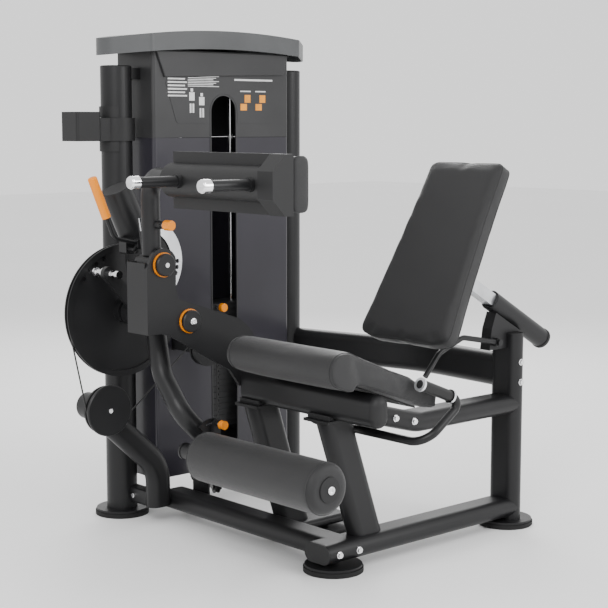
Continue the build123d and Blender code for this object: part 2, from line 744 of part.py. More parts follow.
def outer_tangent(centre_a, radius_a, centre_b, radius_b):
    """Unit normal of the tangent line that passes two pulleys on their front side."""
    dy = centre_b[0] - centre_a[0]
    dz = centre_b[1] - centre_a[1]
    span = (dy * dy + dz * dz) ** 0.5
    along = (radius_a - radius_b) / span
    across = (1 - along * along) ** 0.5
    return (along * dy + across * dz) / span, (along * dz - across * dy) / span


def cross_tangent(centre_a, radius_a, centre_b, radius_b):
    """Unit normal of the line that passes under the first pulley and over the second."""
    dy = centre_b[0] - centre_a[0]
    dz = centre_b[1] - centre_a[1]
    span = (dy * dy + dz * dz) ** 0.5
    along = (radius_a + radius_b) / span
    across = (1 - along * along) ** 0.5
    return (along * dy + across * dz) / span, (along * dz - across * dy) / span


def meet(normal_a, offset_a, normal_b, offset_b):
    """Crossing point of two lines, each given by its unit normal and offset."""
    det = normal_a[0] * normal_b[1] - normal_a[1] * normal_b[0]
    y = (offset_a * normal_b[1] - offset_b * normal_a[1]) / det
    z = (normal_a[0] * offset_b - normal_b[0] * offset_a) / det
    return y, z


knee = (KNEE_Y, KNEE_Z)
p1 = (P1_Y, P1_Z)
p2 = (P2_Y, P2_Z)
line_a = outer_tangent(knee, CAM_R, p1, P1_R)
offset_line_a = line_a[0] * knee[0] + line_a[1] * knee[1] + CAM_R
line_b = cross_tangent(p1, P1_R, p2, P2_R)
offset_line_b = line_b[0] * p1[0] + line_b[1] * p1[1] + P1_R
cam_leave = (KNEE_Y + CAM_R * line_a[0], KNEE_Z + CAM_R * line_a[1])
corner_1 = meet(line_a, offset_line_a, line_b, offset_line_b)
corner_2 = meet(line_b, offset_line_b, (1.0, 0.0), P3_Y)
cable_points = [
    (CAM_X, cam_leave[0], cam_leave[1]),
    (CAM_X, corner_1[0], corner_1[1]),
    (CAM_X, corner_2[0], corner_2[1]),
    (CAM_X, P3_Y, LOW_CABLE_Z),
    (RISER_X, MID_Y, LOW_CABLE_Z),
    (RISER_X, MID_Y, TOP_PULLEY_Z),
]
with BuildPart() as drive_cable:
    with BuildLine(floor_plane(0)) as cable_route:
        FilletPolyline(*cable_points, radius=[P1_R, P2_R, P3_R, P4_R])
        ThreePointArc(
            (RISER_X, MID_Y, TOP_PULLEY_Z),
            (RISER_X + TOP_R, MID_Y, TOP_PULLEY_Z + TOP_R),
            (RISER_X + 2 * TOP_R, MID_Y, TOP_PULLEY_Z),
        )
    cable_start = cable_route.line @ 0
    cable_way = cable_route.line % 0
    with BuildSketch(Plane(origin=cable_start, x_dir=X_AXIS, z_dir=cable_way)):
        Circle(CABLE_D / 2)
    sweep(path=cable_route.line)
save(drive_cable, "drive_cable")

with BuildPart() as stack_cable:
    with BuildSketch(floor_plane(STACK_TOP - 0.5 + BLOCK_H)):
        with Locations((0, MID_Y)):
            Circle(CABLE_D / 2)
    extrude(amount=TOP_PULLEY_Z - STACK_TOP + 0.5 - BLOCK_H)
save(stack_cable, "stack_cable")

GROOVE = CABLE_D / 2 + FREE_GAP
AXLE_R = 8.0


def pulley(centre, axis, pitch_r, flange, width, bore=AXLE_R + RUN_GAP):
    """Grooved pulley about an axis, with its bore."""
    side = (0, 0, 1)
    start = Vector(*centre) - Vector(*axis).normalized() * (width / 2)
    with BuildPart(mode=Mode.PRIVATE) as wheel:
        with BuildSketch(turned_plane((start.X, start.Y, start.Z), side, axis)):
            Circle(pitch_r + flange)
            Circle(bore, mode=Mode.SUBTRACT)
        extrude(amount=width)
        with BuildSketch(Plane(
            origin=(centre[0] - ORIGIN_X, centre[1] - ORIGIN_Y, centre[2]),
            x_dir=side,
            z_dir=Vector(*axis).cross(Vector(*side)),
        )):
            with BuildLine():
                Polyline(
                    (pitch_r - GROOVE, -GROOVE),
                    (pitch_r - GROOVE, GROOVE),
                    (pitch_r + flange + 3, GROOVE + 2),
                    (pitch_r + flange + 3, -GROOVE - 2),
                    close=True,
                )
            make_face()
        revolve(axis=Axis(
            (centre[0] - ORIGIN_X, centre[1] - ORIGIN_Y, centre[2]), axis
        ), mode=Mode.SUBTRACT)
    return wheel.part


SPIN_AXIS = (RUN_Y, -RUN_X, 0)
P3_CENTRE = (CAM_X + RUN_X * P3_R, P3_Y + RUN_Y * P3_R, LOW_CABLE_Z + P3_R)
P4_CENTRE = (RISER_X - RUN_X * P4_R, MID_Y - RUN_Y * P4_R, LOW_CABLE_Z + P4_R)
TOP_CENTRE = (RISER_X + TOP_R, MID_Y, TOP_PULLEY_Z)
with BuildPart() as front_pulley:
    add(pulley((CAM_X, P1_Y, P1_Z), X_AXIS, P1_R, 5, 22, 10 + RUN_GAP))
save(front_pulley, "front_pulley")
with BuildPart() as middle_pulley:
    add(pulley((CAM_X, P2_Y, P2_Z), X_AXIS, P2_R, 6, 22))
save(middle_pulley, "middle_pulley")
with BuildPart() as floor_pulley:
    add(pulley(P3_CENTRE, SPIN_AXIS, P3_R, 5, 18))
save(floor_pulley, "floor_pulley")
with BuildPart() as riser_pulley:
    add(pulley(P4_CENTRE, SPIN_AXIS, P4_R, 5, 18))
save(riser_pulley, "riser_pulley")
with BuildPart() as top_pulley:
    add(pulley(TOP_CENTRE, Y_AXIS, TOP_R, 5, 18))
save(top_pulley, "top_pulley")

COVER_T = 8.0
P1_FACE = CAM_X + 12
with BuildPart() as front_pulley_axle:
    add(rod((ARM_X + TUBE_H / 2, P1_Y, P1_Z), X_AXIS, P1_FACE + 2 - ARM_X - TUBE_H / 2, 10))
    add(rod((ARM_X + TUBE_H / 2, P1_Y, P1_Z), X_AXIS, CAM_X - 12.5 - ARM_X - TUBE_H / 2, 20))
    add(rod((P1_FACE + 1, P1_Y, P1_Z), X_AXIS, COVER_T, P1_R + 10))
    chamfer(front_pulley_axle.faces().sort_by(Axis.X)[-1].edges(), length=3)

with BuildPart() as middle_pulley_bracket:
    add(rod((CAM_X - 14, P2_Y, P2_Z), X_AXIS, 31, AXLE_R))
    add(rod((CAM_X + 12, P2_Y, P2_Z), X_AXIS, COVER_T, P2_R + 8))
    with BuildSketch(side_plane(95)):
        with Locations((P2_Y, P2_Z)):
            RectangleRounded(40, 40, 5)
    extrude(amount=CAM_X - 13 - 95)
    with BuildSketch(floor_plane(CHANNEL_Z + 30)):
        with Locations((78, POST_Y)):
            Rectangle(34, 34)
    extrude(amount=P2_Z + 24 - CHANNEL_Z - 30)


def cheek_pair(centre, axis, gap, thick, sketch_points, round_r):
    """Two flat cheeks either side of a pulley, with its axle between them."""
    unit = Vector(*axis).normalized()
    level = unit.cross(Vector(0, 0, 1))
    with BuildPart(mode=Mode.PRIVATE) as pair:
        for sign in (-1, 1):
            base = Vector(*centre) + unit * (sign * (gap / 2 + thick / 2) - thick / 2)
            with BuildSketch(turned_plane((base.X, base.Y, base.Z), level, axis)):
                with BuildLine():
                    Polyline(*sketch_points, close=True)
                make_face()
                Circle(round_r)
            extrude(amount=thick)
        low = Vector(*centre) - unit * (gap / 2 + 1)
        add(rod((low.X, low.Y, low.Z), axis, gap + 2, AXLE_R))
    return pair.part


with BuildPart() as floor_pulley_bracket:
    add(
        cheek_pair(
            P3_CENTRE,
            SPIN_AXIS,
            21,
            5,
            [
                (-46, LOW_CABLE_Z - 25 - P3_CENTRE[2]),
                (40, LOW_CABLE_Z - 25 - P3_CENTRE[2]),
                (24, 24),
                (-24, 24),
            ],
            26,
        )
    )
    with BuildSketch(front_plane(FRONT_RAIL_Y + TUBE_W / 2 + 6)):
        with Locations((214, RAIL_Z + 38)):
            RectangleRounded(84, 96, 6)
    extrude(amount=6)
    with BuildSketch(floor_plane(LOW_CABLE_Z - 31)):
        with Locations((212, FRONT_RAIL_Y + TUBE_W / 2 + 36)):
            Rectangle(88, 72)
    extrude(amount=6)

with BuildPart() as riser_pulley_bracket:
    add(
        cheek_pair(
            P4_CENTRE,
            SPIN_AXIS,
            21,
            5,
            [(-22, -14), (22, -14), (22, BASE_Z - P4_CENTRE[2]), (-22, BASE_Z - P4_CENTRE[2])],
            20,
        )
    )

with BuildPart() as top_pulley_bracket:
    add(
        cheek_pair(
            TOP_CENTRE,
            Y_AXIS,
            21,
            5,
            [(-8, -18), (24, -18), (34, TOP_RAIL_Z - TOP_PULLEY_Z), (-20, TOP_RAIL_Z - TOP_PULLEY_Z)],
            20,
        )
    )

with BuildPart() as pulley_brackets:
    add(front_pulley_axle.part)
    add(middle_pulley_bracket.part)
    add(floor_pulley_bracket.part)
    add(riser_pulley_bracket.part)
    add(top_pulley_bracket.part)
save(pulley_brackets, "pulley_brackets")

# ---- pivot housing --------------------------------------------------------------------------
HOUSE_X = 490.0
FACE_X = 590.0
CHEEK = 10.0
PLATE = 12.0
HOUSE_FRONT = -309.0
HOUSE_REAR = -205.0
HOUSE_LOW = 692.0
SHAFT_R = 15.0
BOSS_R = 47.0
SECTOR_IN = 94.0
SECTOR_OUT = 132.0
THIGH_PIN_R = 115.0
THIGH_PIN_TURN = -2.0
HOLE_TURNS = (93.0, 102.0, 111.0, 120.0)


def around_thigh_axis(radius, turn):
    """Sketch point at a radius from the thigh axis, turned back from straight up."""
    return THIGH_Y + radius * sin(radians(turn)), THIGH_Z + radius * cos(radians(turn))


with BuildPart() as pivot_housing:
    with BuildSketch(side_plane(HOUSE_X)):
        with BuildLine():
            Polyline(
                (HOUSE_FRONT, HOUSE_LOW),
                (HOUSE_REAR, HOUSE_LOW),
                (HOUSE_REAR, THIGH_Z - 90),
                around_thigh_axis(SECTOR_OUT - 4, 132),
                (THIGH_Y + 60, THIGH_Z),
                (THIGH_Y, THIGH_Z + 6),
                (HOUSE_FRONT, THIGH_Z + 6),
                close=True,
            )
        make_face()
    extrude(amount=CHEEK)
    with BuildSketch(side_plane(HOUSE_X)):
        with BuildLine():
            Polyline(
                (THIGH_Y, THIGH_Z),
                around_thigh_axis(SECTOR_OUT + 90, -8),
                around_thigh_axis(SECTOR_OUT + 90, 60),
                around_thigh_axis(SECTOR_OUT + 90, 136),
                close=True,
            )
        make_face()
        with Locations((THIGH_Y, THIGH_Z)):
            Circle(SECTOR_OUT - 4, mode=Mode.INTERSECT)
    extrude(amount=CHEEK)
    with BuildSketch(side_plane(HOUSE_X + CHEEK)):
        with Locations(((HOUSE_FRONT * 2 + CHEEK) / 2, (HOUSE_LOW + THIGH_Z + 6) / 2)):
            Rectangle(CHEEK, THIGH_Z + 6 - HOUSE_LOW)
        with Locations((HOUSE_REAR - CHEEK / 2, (HOUSE_LOW + 800) / 2)):
            Rectangle(CHEEK, 800 - HOUSE_LOW)
        with Locations(((HOUSE_FRONT + HOUSE_REAR) / 2, HOUSE_LOW + 4)):
            Rectangle(HOUSE_REAR - HOUSE_FRONT, 8)
    extrude(amount=FACE_X - PLATE - HOUSE_X - CHEEK)
    with BuildSketch(side_plane(HOUSE_X)):
        with Locations((KNEE_Y, KNEE_Z)):
            Circle(BOSS_R)
    extrude(amount=FACE_X - PLATE - HOUSE_X)
    with BuildSketch(side_plane(HOUSE_X - 1)):
        with Locations((KNEE_Y, KNEE_Z)):
            Circle(SHAFT_R + RUN_GAP)
    extrude(amount=FACE_X, mode=Mode.SUBTRACT)
    with BuildSketch(side_plane(HOUSE_X - 1)):
        with Locations((THIGH_Y, THIGH_Z)):
            Circle(SHAFT_R)
        for turn in (0.0,) + HOLE_TURNS:
            with Locations(around_thigh_axis(THIGH_PIN_R, turn + THIGH_PIN_TURN)):
                Circle(6 + FREE_GAP)
    extrude(amount=CHEEK + 2, mode=Mode.SUBTRACT)

with BuildPart() as side_plate:
    with BuildSketch(side_plane(FACE_X - PLATE)):
        with BuildLine():
            Line((HOUSE_FRONT, HOUSE_LOW), (HOUSE_FRONT, THIGH_Z - 10))
            Line((HOUSE_FRONT, THIGH_Z - 10), (THIGH_Y - 40, THIGH_Z + 26))
            ThreePointArc(
                (THIGH_Y - 40, THIGH_Z + 26),
                (THIGH_Y, THIGH_Z + 48),
                (THIGH_Y + 46, THIGH_Z + 14),
            )
            Polyline(
                (THIGH_Y + 46, THIGH_Z + 14),
                (-207, 830),
                (-200, 791),
                (13, 718),
            )
            ThreePointArc((13, 718), (64, 686), (96, 636))
            Polyline(
                (96, 636),
                (118, 560),
                (118, 540),
                (BEAM_Y + TUBE_H / 2, 506),
                (BEAM_Y - TUBE_H / 2, 506),
                (-8, 559),
                (-231, 684),
                (HOUSE_FRONT + 50, HOUSE_LOW),
                (HOUSE_FRONT, HOUSE_LOW),
            )
        make_face()
        with Locations((KNEE_Y, KNEE_Z)):
            Circle(SHAFT_R + RUN_GAP, mode=Mode.SUBTRACT)
        with Locations((THIGH_Y, THIGH_Z)):
            Circle(SHAFT_R, mode=Mode.SUBTRACT)
    extrude(amount=PLATE)
    with BuildSketch(side_plane(FACE_X)):
        with Locations((BEAM_Y + 6, BEAM_Z + 28)):
            Rectangle(TUBE_H + 24, 50)
    extrude(amount=2)

with BuildPart() as pivot_frame:
    add(pivot_housing.part)
    add(side_plate.part)
save(pivot_frame, "pivot_frame")

SECTOR_X = HOUSE_X + CHEEK
SECTOR_T = 5.0
with BuildPart() as sector_plate:
    with BuildSketch(side_plane(SECTOR_X)):
        with Locations((THIGH_Y, THIGH_Z)):
            Circle(SECTOR_OUT)
            Circle(SECTOR_IN, mode=Mode.SUBTRACT)
        with BuildLine():
            Polyline(
                (THIGH_Y, THIGH_Z),
                around_thigh_axis(400, -9),
                around_thigh_axis(400, 60),
                around_thigh_axis(400, 137),
                close=True,
            )
        make_face(mode=Mode.INTERSECT)
        for turn in (0.0,) + HOLE_TURNS:
            with Locations(around_thigh_axis(THIGH_PIN_R, turn + THIGH_PIN_TURN)):
                Circle(6 + FREE_GAP, mode=Mode.SUBTRACT)
        with Locations((HOUSE_REAR - CHEEK / 2, 750)):
            Rectangle(CHEEK + 1, 101, mode=Mode.SUBTRACT)
    extrude(amount=SECTOR_T)
save(sector_plate, "sector_plate")

RING_T = 6.0
with BuildPart() as bearing_rings:
    with BuildSketch(side_plane(FACE_X)):
        with Locations((THIGH_Y, THIGH_Z), (KNEE_Y, KNEE_Z)):
            Circle(36)
            Circle(SHAFT_R + 2, mode=Mode.SUBTRACT)
    extrude(amount=RING_T)
save(bearing_rings, "bearing_rings")

with BuildPart() as thigh_shaft:
    add(rod((HOUSE_X - 6, THIGH_Y, THIGH_Z), X_AXIS, FACE_X + RING_T - HOUSE_X + 6, SHAFT_R))
    add(rod((FACE_X + RING_T, THIGH_Y, THIGH_Z), X_AXIS, 12, 33))
    add(rod((HOUSE_X - 12, THIGH_Y, THIGH_Z), X_AXIS, 12, 22))
    chamfer(thigh_shaft.faces().sort_by(Axis.X)[-1].edges(), length=3)
save(thigh_shaft, "thigh_shaft")

# ---- lever ----------------------------------------------------------------------------------
CAM_T = 8.0
LATCH_R = 177.0
LATCH_TURN = -43.0
START_TURNS = (-10.0, 0.0, 10.0, 20.0)
HUB_START = 300.0
HUB_END = 462.0


def around_knee_axis(radius, turn):
    """Sketch point at a radius from the knee axis, turned back from straight up."""
    return KNEE_Y + radius * sin(radians(turn)), KNEE_Z + radius * cos(radians(turn))


with BuildPart() as cam_disc:
    add(rod((CAM_X - CAM_T / 2, KNEE_Y, KNEE_Z), X_AXIS, CAM_T, CAM_R + 6))
    add(rod((CAM_X - 9, KNEE_Y, KNEE_Z), X_AXIS, 18, CAM_R + 6, CAM_R - 12))
    add(rod((CAM_X - 30, KNEE_Y, KNEE_Z), X_AXIS, 62, 38))
    with BuildSketch(turned_plane((CAM_X, KNEE_Y, KNEE_Z), X_AXIS, Y_AXIS)):
        with BuildLine():
            Polyline(
                (-GROOVE, CAM_R - GROOVE),
                (GROOVE, CAM_R - GROOVE),
                (GROOVE + 2, CAM_R + 9),
                (-GROOVE - 2, CAM_R + 9),
                close=True,
            )
        make_face()
    revolve(
        axis=Axis((CAM_X - ORIGIN_X, KNEE_Y - ORIGIN_Y, KNEE_Z), X_AXIS),
        mode=Mode.SUBTRACT,
    )
    with BuildSketch(side_plane(CAM_X - 2)):
        for turn in START_TURNS:
            with Locations(around_knee_axis(LATCH_R, LATCH_TURN + turn)):
                Circle(7 + FREE_GAP)
    extrude(amount=10, mode=Mode.SUBTRACT)
    add(rod((CAM_X - 31, KNEE_Y, KNEE_Z), X_AXIS, 70, SHAFT_R), mode=Mode.SUBTRACT)
save(cam_disc, "cam_disc")

KNEE_CAP_T = 12.0
with BuildPart() as knee_shaft:
    add(rod((CAM_X - 36, KNEE_Y, KNEE_Z), X_AXIS, FACE_X + RING_T - CAM_X + 36, SHAFT_R))
    add(rod((FACE_X + RING_T, KNEE_Y, KNEE_Z), X_AXIS, KNEE_CAP_T, 33))
    chamfer(knee_shaft.faces().sort_by(Axis.X)[-1].edges(), length=3)
save(knee_shaft, "knee_shaft")

LEVER_R = 30.0
PIVOT_Y = -92.0
PIVOT_Z = 358.0
WEIGHT_X = 350.0
WEIGHT_R = 47.5
WEIGHT_L = 163.0
WEIGHT_LOW = (-178.0, 956.0)
WEIGHT_WAY = (0, -0.425, 0.905)
GRIP_X = 413.0
GRIP_PIVOT = (-214.0, 940.0)
lever_points = [
    (HUB_START + 118, KNEE_Y, KNEE_Z - 20),
    (462.0, -168.0, 548.0),
    (560.0, -168.0, 440.0),
    (578.0, PIVOT_Y, PIVOT_Z),
]
latch_place = around_knee_axis(LATCH_R, LATCH_TURN)
CARRIER_PIN_R = 52.0
CARRIER_PIN_TURN = 9.0
CARRIER_TURNS = (-30.0, -20.0, -10.0, 0.0, 10.0)


def around_carrier_axis(radius, turn):
    """Sketch point at a radius from the roller carrier's hinge, turned back from straight up."""
    return PIVOT_Y + radius * sin(radians(turn)), PIVOT_Z + radius * cos(radians(turn))


carrier_pin_place = around_carrier_axis(CARRIER_PIN_R, CARRIER_PIN_TURN)
GRIP_PIN_R = 4.0
GRIP_HINGE_WAY = (0, 0.698, 0.716)


def grip_hinge_point(distance):
    """Point on the release grip's hinge line, measured up and back from its middle."""
    return (
        GRIP_X,
        GRIP_PIVOT[0] + GRIP_HINGE_WAY[1] * distance,
        GRIP_PIVOT[1] + GRIP_HINGE_WAY[2] * distance,
    )


with BuildPart() as lever_frame:
    add(
        swept(
            floor_plane(0),
            lever_points,
            [120.0, 90.0],
            Y_AXIS,
            (
                lever_points[1][0] - lever_points[0][0],
                lever_points[1][1] - lever_points[0][1],
                lever_points[1][2] - lever_points[0][2],
            ),
            ring(LEVER_R),
        )
    )
    add(rod((HUB_START, KNEE_Y, KNEE_Z), X_AXIS, HUB_END - HUB_START, 42))
    add(rod((554, PIVOT_Y, PIVOT_Z), X_AXIS, 58, 24))
    with BuildSketch(side_plane(WEIGHT_X - 8)):
        with BuildLine():
            Polyline(
                (KNEE_Y - 34, KNEE_Z),
                (KNEE_Y + 34, KNEE_Z),
                (WEIGHT_LOW[0] + 38, WEIGHT_LOW[1] + 17.8),
                (WEIGHT_LOW[0] - 38, WEIGHT_LOW[1] - 17.8),
                close=True,
            )
        make_face()
    extrude(amount=16)
    with BuildSketch(side_plane(WEIGHT_X - 8)):
        with BuildLine():
            Polyline(
                (KNEE_Y, KNEE_Z + 30),
                (KNEE_Y - 30, KNEE_Z),
                (latch_place[0] - 16, latch_place[1] - 12),
                (latch_place[0] + 6, latch_place[1] + 20),
                close=True,
            )
        make_face()
        with Locations(latch_place):
            Circle(21)
    extrude(amount=16)
    with BuildSketch(side_plane(WEIGHT_X + 8)):
        with Locations((GRIP_PIVOT[0] - 8, GRIP_PIVOT[1] - 6)):
            RectangleRounded(44, 48, 6)
    extrude(amount=GRIP_X - WEIGHT_X - 8 - 18)
    with BuildSketch(turned_plane(grip_hinge_point(-31), X_AXIS, GRIP_HINGE_WAY)):
        Circle(9)
        with Locations((-11, 0)):
            Rectangle(22, 18)
    extrude(amount=8)
    add(rod(grip_hinge_point(-31), GRIP_HINGE_WAY, 54, GRIP_PIN_R))
    add(rod(grip_hinge_point(23), GRIP_HINGE_WAY, 3, 7))
    with BuildSketch(side_plane(602)):
        with Locations((PIVOT_Y, PIVOT_Z)):
            Circle(66)
        with BuildLine():
            Polyline(
                (PIVOT_Y, PIVOT_Z - 10),
                around_carrier_axis(120, -44),
                around_carrier_axis(120, 34),
                close=True,
            )
        make_face(mode=Mode.INTERSECT)
    extrude(amount=8)
    with BuildSketch(side_plane(590)):
        for turn in CARRIER_TURNS:
            with Locations(around_carrier_axis(CARRIER_PIN_R, CARRIER_PIN_TURN + turn)):
                Circle(4 + FREE_GAP)
    extrude(amount=24, mode=Mode.SUBTRACT)
    add(
        rod((HUB_START - 1, KNEE_Y, KNEE_Z), X_AXIS, HUB_END - HUB_START + 2, SHAFT_R + RUN_GAP),
        mode=Mode.SUBTRACT,
    )
    add(rod((WEIGHT_X - 9, latch_place[0], latch_place[1]), X_AXIS, 18, 11), mode=Mode.SUBTRACT)
    add(rod((540, PIVOT_Y, PIVOT_Z), X_AXIS, 73, 8 + RUN_GAP), mode=Mode.SUBTRACT)
    add(rod((WEIGHT_X, WEIGHT_LOW[0], WEIGHT_LOW[1]), WEIGHT_WAY, 200, WEIGHT_R + 1), mode=Mode.SUBTRACT)
save(lever_frame, "lever_frame")

with BuildPart() as counterweight:
    add(rod((WEIGHT_X, WEIGHT_LOW[0], WEIGHT_LOW[1]), WEIGHT_WAY, WEIGHT_L, WEIGHT_R))
    chamfer(counterweight.faces().sort_by(Axis.Z)[-1].edges(), length=2)
save(counterweight, "counterweight")

with BuildPart() as latch_pin:
    add(rod((CAM_X + 5, latch_place[0], latch_place[1]), X_AXIS, 142, 7))
    add(rod((CAM_X + 38, latch_place[0], latch_place[1]), X_AXIS, 6, 14))
    add(rod((CAM_X + 147, latch_place[0], latch_place[1]), X_AXIS, 14, 12))
save(latch_pin, "latch_pin")

with BuildPart() as latch_barrel:
    add(rod((WEIGHT_X - 46, latch_place[0], latch_place[1]), X_AXIS, 72, 11, 7 + FREE_GAP))
    add(rod((WEIGHT_X - 18, latch_place[0], latch_place[1]), X_AXIS, 10, 17, 7 + FREE_GAP))
save(latch_barrel, "latch_barrel")

GRIP_ROD_R = 6.0
grip_points = [
    (GRIP_PIVOT[0] + 4, GRIP_PIVOT[1] + 2),
    (-300.0, 962.0),
    (-368.0, 1128.0),
]
with BuildPart() as release_grip:
    add(
        swept(
            side_plane(GRIP_X),
            grip_points,
            [34.0],
            X_AXIS,
            (0, grip_points[1][0] - grip_points[0][0], grip_points[1][1] - grip_points[0][1]),
            ring(GRIP_ROD_R),
        )
    )
    add(rod((GRIP_X, -325, 1023), (0, -0.378, 0.926), 128, 14))
    fillet(release_grip.faces().sort_by(Axis.Z)[-1].edges(), radius=6)
    with BuildSketch(side_plane(GRIP_X - 11.5)):
        with Locations((GRIP_PIVOT[0] + 4, GRIP_PIVOT[1])):
            RectangleRounded(24, 30, 5)
    extrude(amount=23)
    add(rod(grip_hinge_point(-40), GRIP_HINGE_WAY, 80, GRIP_PIN_R + RUN_GAP), mode=Mode.SUBTRACT)
save(release_grip, "release_grip")

# ---- roller ---------------------------------------------------------------------------------
ROLLER_Y = -167.0
ROLLER_Z = 331.0
ROLLER_R = 78.0
ROLLER_START = 659.0
ROLLER_END = 1210.0
with BuildPart() as roller_carrier:
    add(rod((568, PIVOT_Y, PIVOT_Z), X_AXIS, 62, 8))
    with BuildSketch(side_plane(614)):
        with BuildLine():
            Polyline(
                (PIVOT_Y + 8, PIVOT_Z + 26),
                (PIVOT_Y + 14, PIVOT_Z - 22),
                (ROLLER_Y, ROLLER_Z - 28),
                (ROLLER_Y - 10, ROLLER_Z + 26),
                close=True,
            )
        make_face()
        with Locations((PIVOT_Y, PIVOT_Z)):
            Circle(27)
        with Locations((ROLLER_Y, ROLLER_Z)):
            Circle(28)
        with Locations(carrier_pin_place):
            Circle(14)
        with Locations(around_carrier_axis(CARRIER_PIN_R / 2, CARRIER_PIN_TURN)):
            Rectangle(28, CARRIER_PIN_R, rotation=-CARRIER_PIN_TURN)
        with Locations(carrier_pin_place):
            Circle(4 + FREE_GAP, mode=Mode.SUBTRACT)
    extrude(amount=12)
    add(rod((577, ROLLER_Y, ROLLER_Z), X_AXIS, 78, 23))
    add(rod((570, ROLLER_Y, ROLLER_Z), X_AXIS, 7, 25))
    add(rod((655, ROLLER_Y, ROLLER_Z), X_AXIS, ROLLER_END - 655 - 6, 12.5))
save(roller_carrier, "roller_carrier")

with BuildPart() as roller:
    add(rod((ROLLER_START, ROLLER_Y, ROLLER_Z), X_AXIS, ROLLER_END - ROLLER_START, ROLLER_R))
    fillet(roller.faces().sort_by(Axis.X)[-1].edges(), radius=26)
    fillet(roller.faces().sort_by(Axis.X)[0].edges(), radius=14)
    add(rod((ROLLER_START - 1, ROLLER_Y, ROLLER_Z), X_AXIS, 700, 12.5 + RUN_GAP), mode=Mode.SUBTRACT)
save(roller, "roller")

with BuildPart() as carrier_pin:
    add(rod((611, *carrier_pin_place), X_AXIS, 32, 4))
    add(rod((635, *carrier_pin_place), X_AXIS, 6, 8))
    add(rod((641, *carrier_pin_place), X_AXIS, 18, 13))
save(carrier_pin, "carrier_pin")

# ---- thigh pad ------------------------------------------------------------------------------
THIGH_ARM_X = 540.0
THIGH_ARM_R = 28.0
PAD_Z = 1141.0
PAD_START = 700.0
PAD_END = 1190.0
SHELL_Y = -284.0
thigh_points = [
    (THIGH_ARM_X, THIGH_Y - 4, THIGH_Z + 26),
    (THIGH_ARM_X, THIGH_Y - 8, PAD_Z + 6),
    (700.0, SHELL_Y - 10, PAD_Z),
]
with BuildPart() as thigh_arm:
    add(
        swept(
            floor_plane(0),
            thigh_points,
            [64.0],
            X_AXIS,
            (0, -4, PAD_Z + 6 - THIGH_Z - 26),
            ring(THIGH_ARM_R),
        )
    )
    add(rod((HOUSE_X + CHEEK + 7, THIGH_Y, THIGH_Z), X_AXIS, 68, 34))
    add(rod((THIGH_ARM_X + 20, *around_thigh_axis(THIGH_PIN_R, THIGH_PIN_TURN)), X_AXIS, 34, 12))
    with BuildSketch(side_plane(PAD_START - 0.5)):
        with Locations((SHELL_Y, PAD_Z)):
            Rectangle(120, 120)
    extrude(amount=20, mode=Mode.SUBTRACT)
    add(rod((HOUSE_X, THIGH_Y, THIGH_Z), X_AXIS, 120, SHAFT_R + RUN_GAP), mode=Mode.SUBTRACT)
    add(
        rod((HOUSE_X, *around_thigh_axis(THIGH_PIN_R, THIGH_PIN_TURN)), X_AXIS, 140, 6 + FREE_GAP),
        mode=Mode.SUBTRACT,
    )
save(thigh_arm, "thigh_arm")

with BuildPart() as thigh_pin:
    add(rod((HOUSE_X + 16, *around_thigh_axis(THIGH_PIN_R, THIGH_PIN_TURN)), X_AXIS, 102, 6))
    add(rod((THIGH_ARM_X + 65, *around_thigh_axis(THIGH_PIN_R, THIGH_PIN_TURN)), X_AXIS, 7, 9))
    add(rod((THIGH_ARM_X + 72, *around_thigh_axis(THIGH_PIN_R, THIGH_PIN_TURN)), X_AXIS, 28, 15))
    fillet(thigh_pin.faces().sort_by(Axis.X)[-1].edges(), radius=5)
save(thigh_pin, "thigh_pin")

with BuildPart() as thigh_shell:
    with BuildSketch(side_plane(PAD_START)):
        with Locations((SHELL_Y - 3, PAD_Z)):
            Rectangle(14, 158)
        with Locations((SHELL_Y - 10, PAD_Z)):
            Circle(48)
        with Locations((SHELL_Y + 56, PAD_Z)):
            Rectangle(104, 200, mode=Mode.SUBTRACT)
    extrude(amount=PAD_END - PAD_START)
    with BuildSketch(side_plane(PAD_END - 60)):
        with BuildLine():
            Polyline(
                (SHELL_Y + 4, PAD_Z - 79),
                (SHELL_Y + 4, PAD_Z + 79),
                (SHELL_Y - 24, PAD_Z + 79),
                (SHELL_Y - 66, PAD_Z + 36),
                (SHELL_Y - 66, PAD_Z - 36),
                (SHELL_Y - 24, PAD_Z - 79),
                close=True,
            )
        make_face()
    extrude(amount=60)
    add(
        swept(
            floor_plane(0),
            thigh_points,
            [64.0],
            X_AXIS,
            (0, -4, PAD_Z + 6 - THIGH_Z - 26),
            ring(THIGH_ARM_R + 0.02),
        ),
        mode=Mode.SUBTRACT,
    )
save(thigh_shell, "thigh_shell")

with BuildPart() as thigh_pad:
    with BuildSketch(side_plane(PAD_START)):
        with Locations((SHELL_Y + 36.5, PAD_Z)):
            RectangleRounded(65, 156, 22)
    extrude(amount=PAD_END - PAD_START)
save(thigh_pad, "thigh_pad")

HANDLE_X = (787.0, 1093.0)
HANDLE_START = SHELL_Y - 57
with BuildPart() as thigh_handles:
    for x in HANDLE_X:
        add(rod((x, HANDLE_START, PAD_Z), (0, -1, 0), 12, 19))
        add(rod((x, HANDLE_START - 12, PAD_Z), (0, -1, 0), 128, 15))
        add(rod((x, HANDLE_START - 132, PAD_Z), (0, -1, 0), 26, 18))
    add(thigh_shell.part, mode=Mode.SUBTRACT)
save(thigh_handles, "thigh_handles")

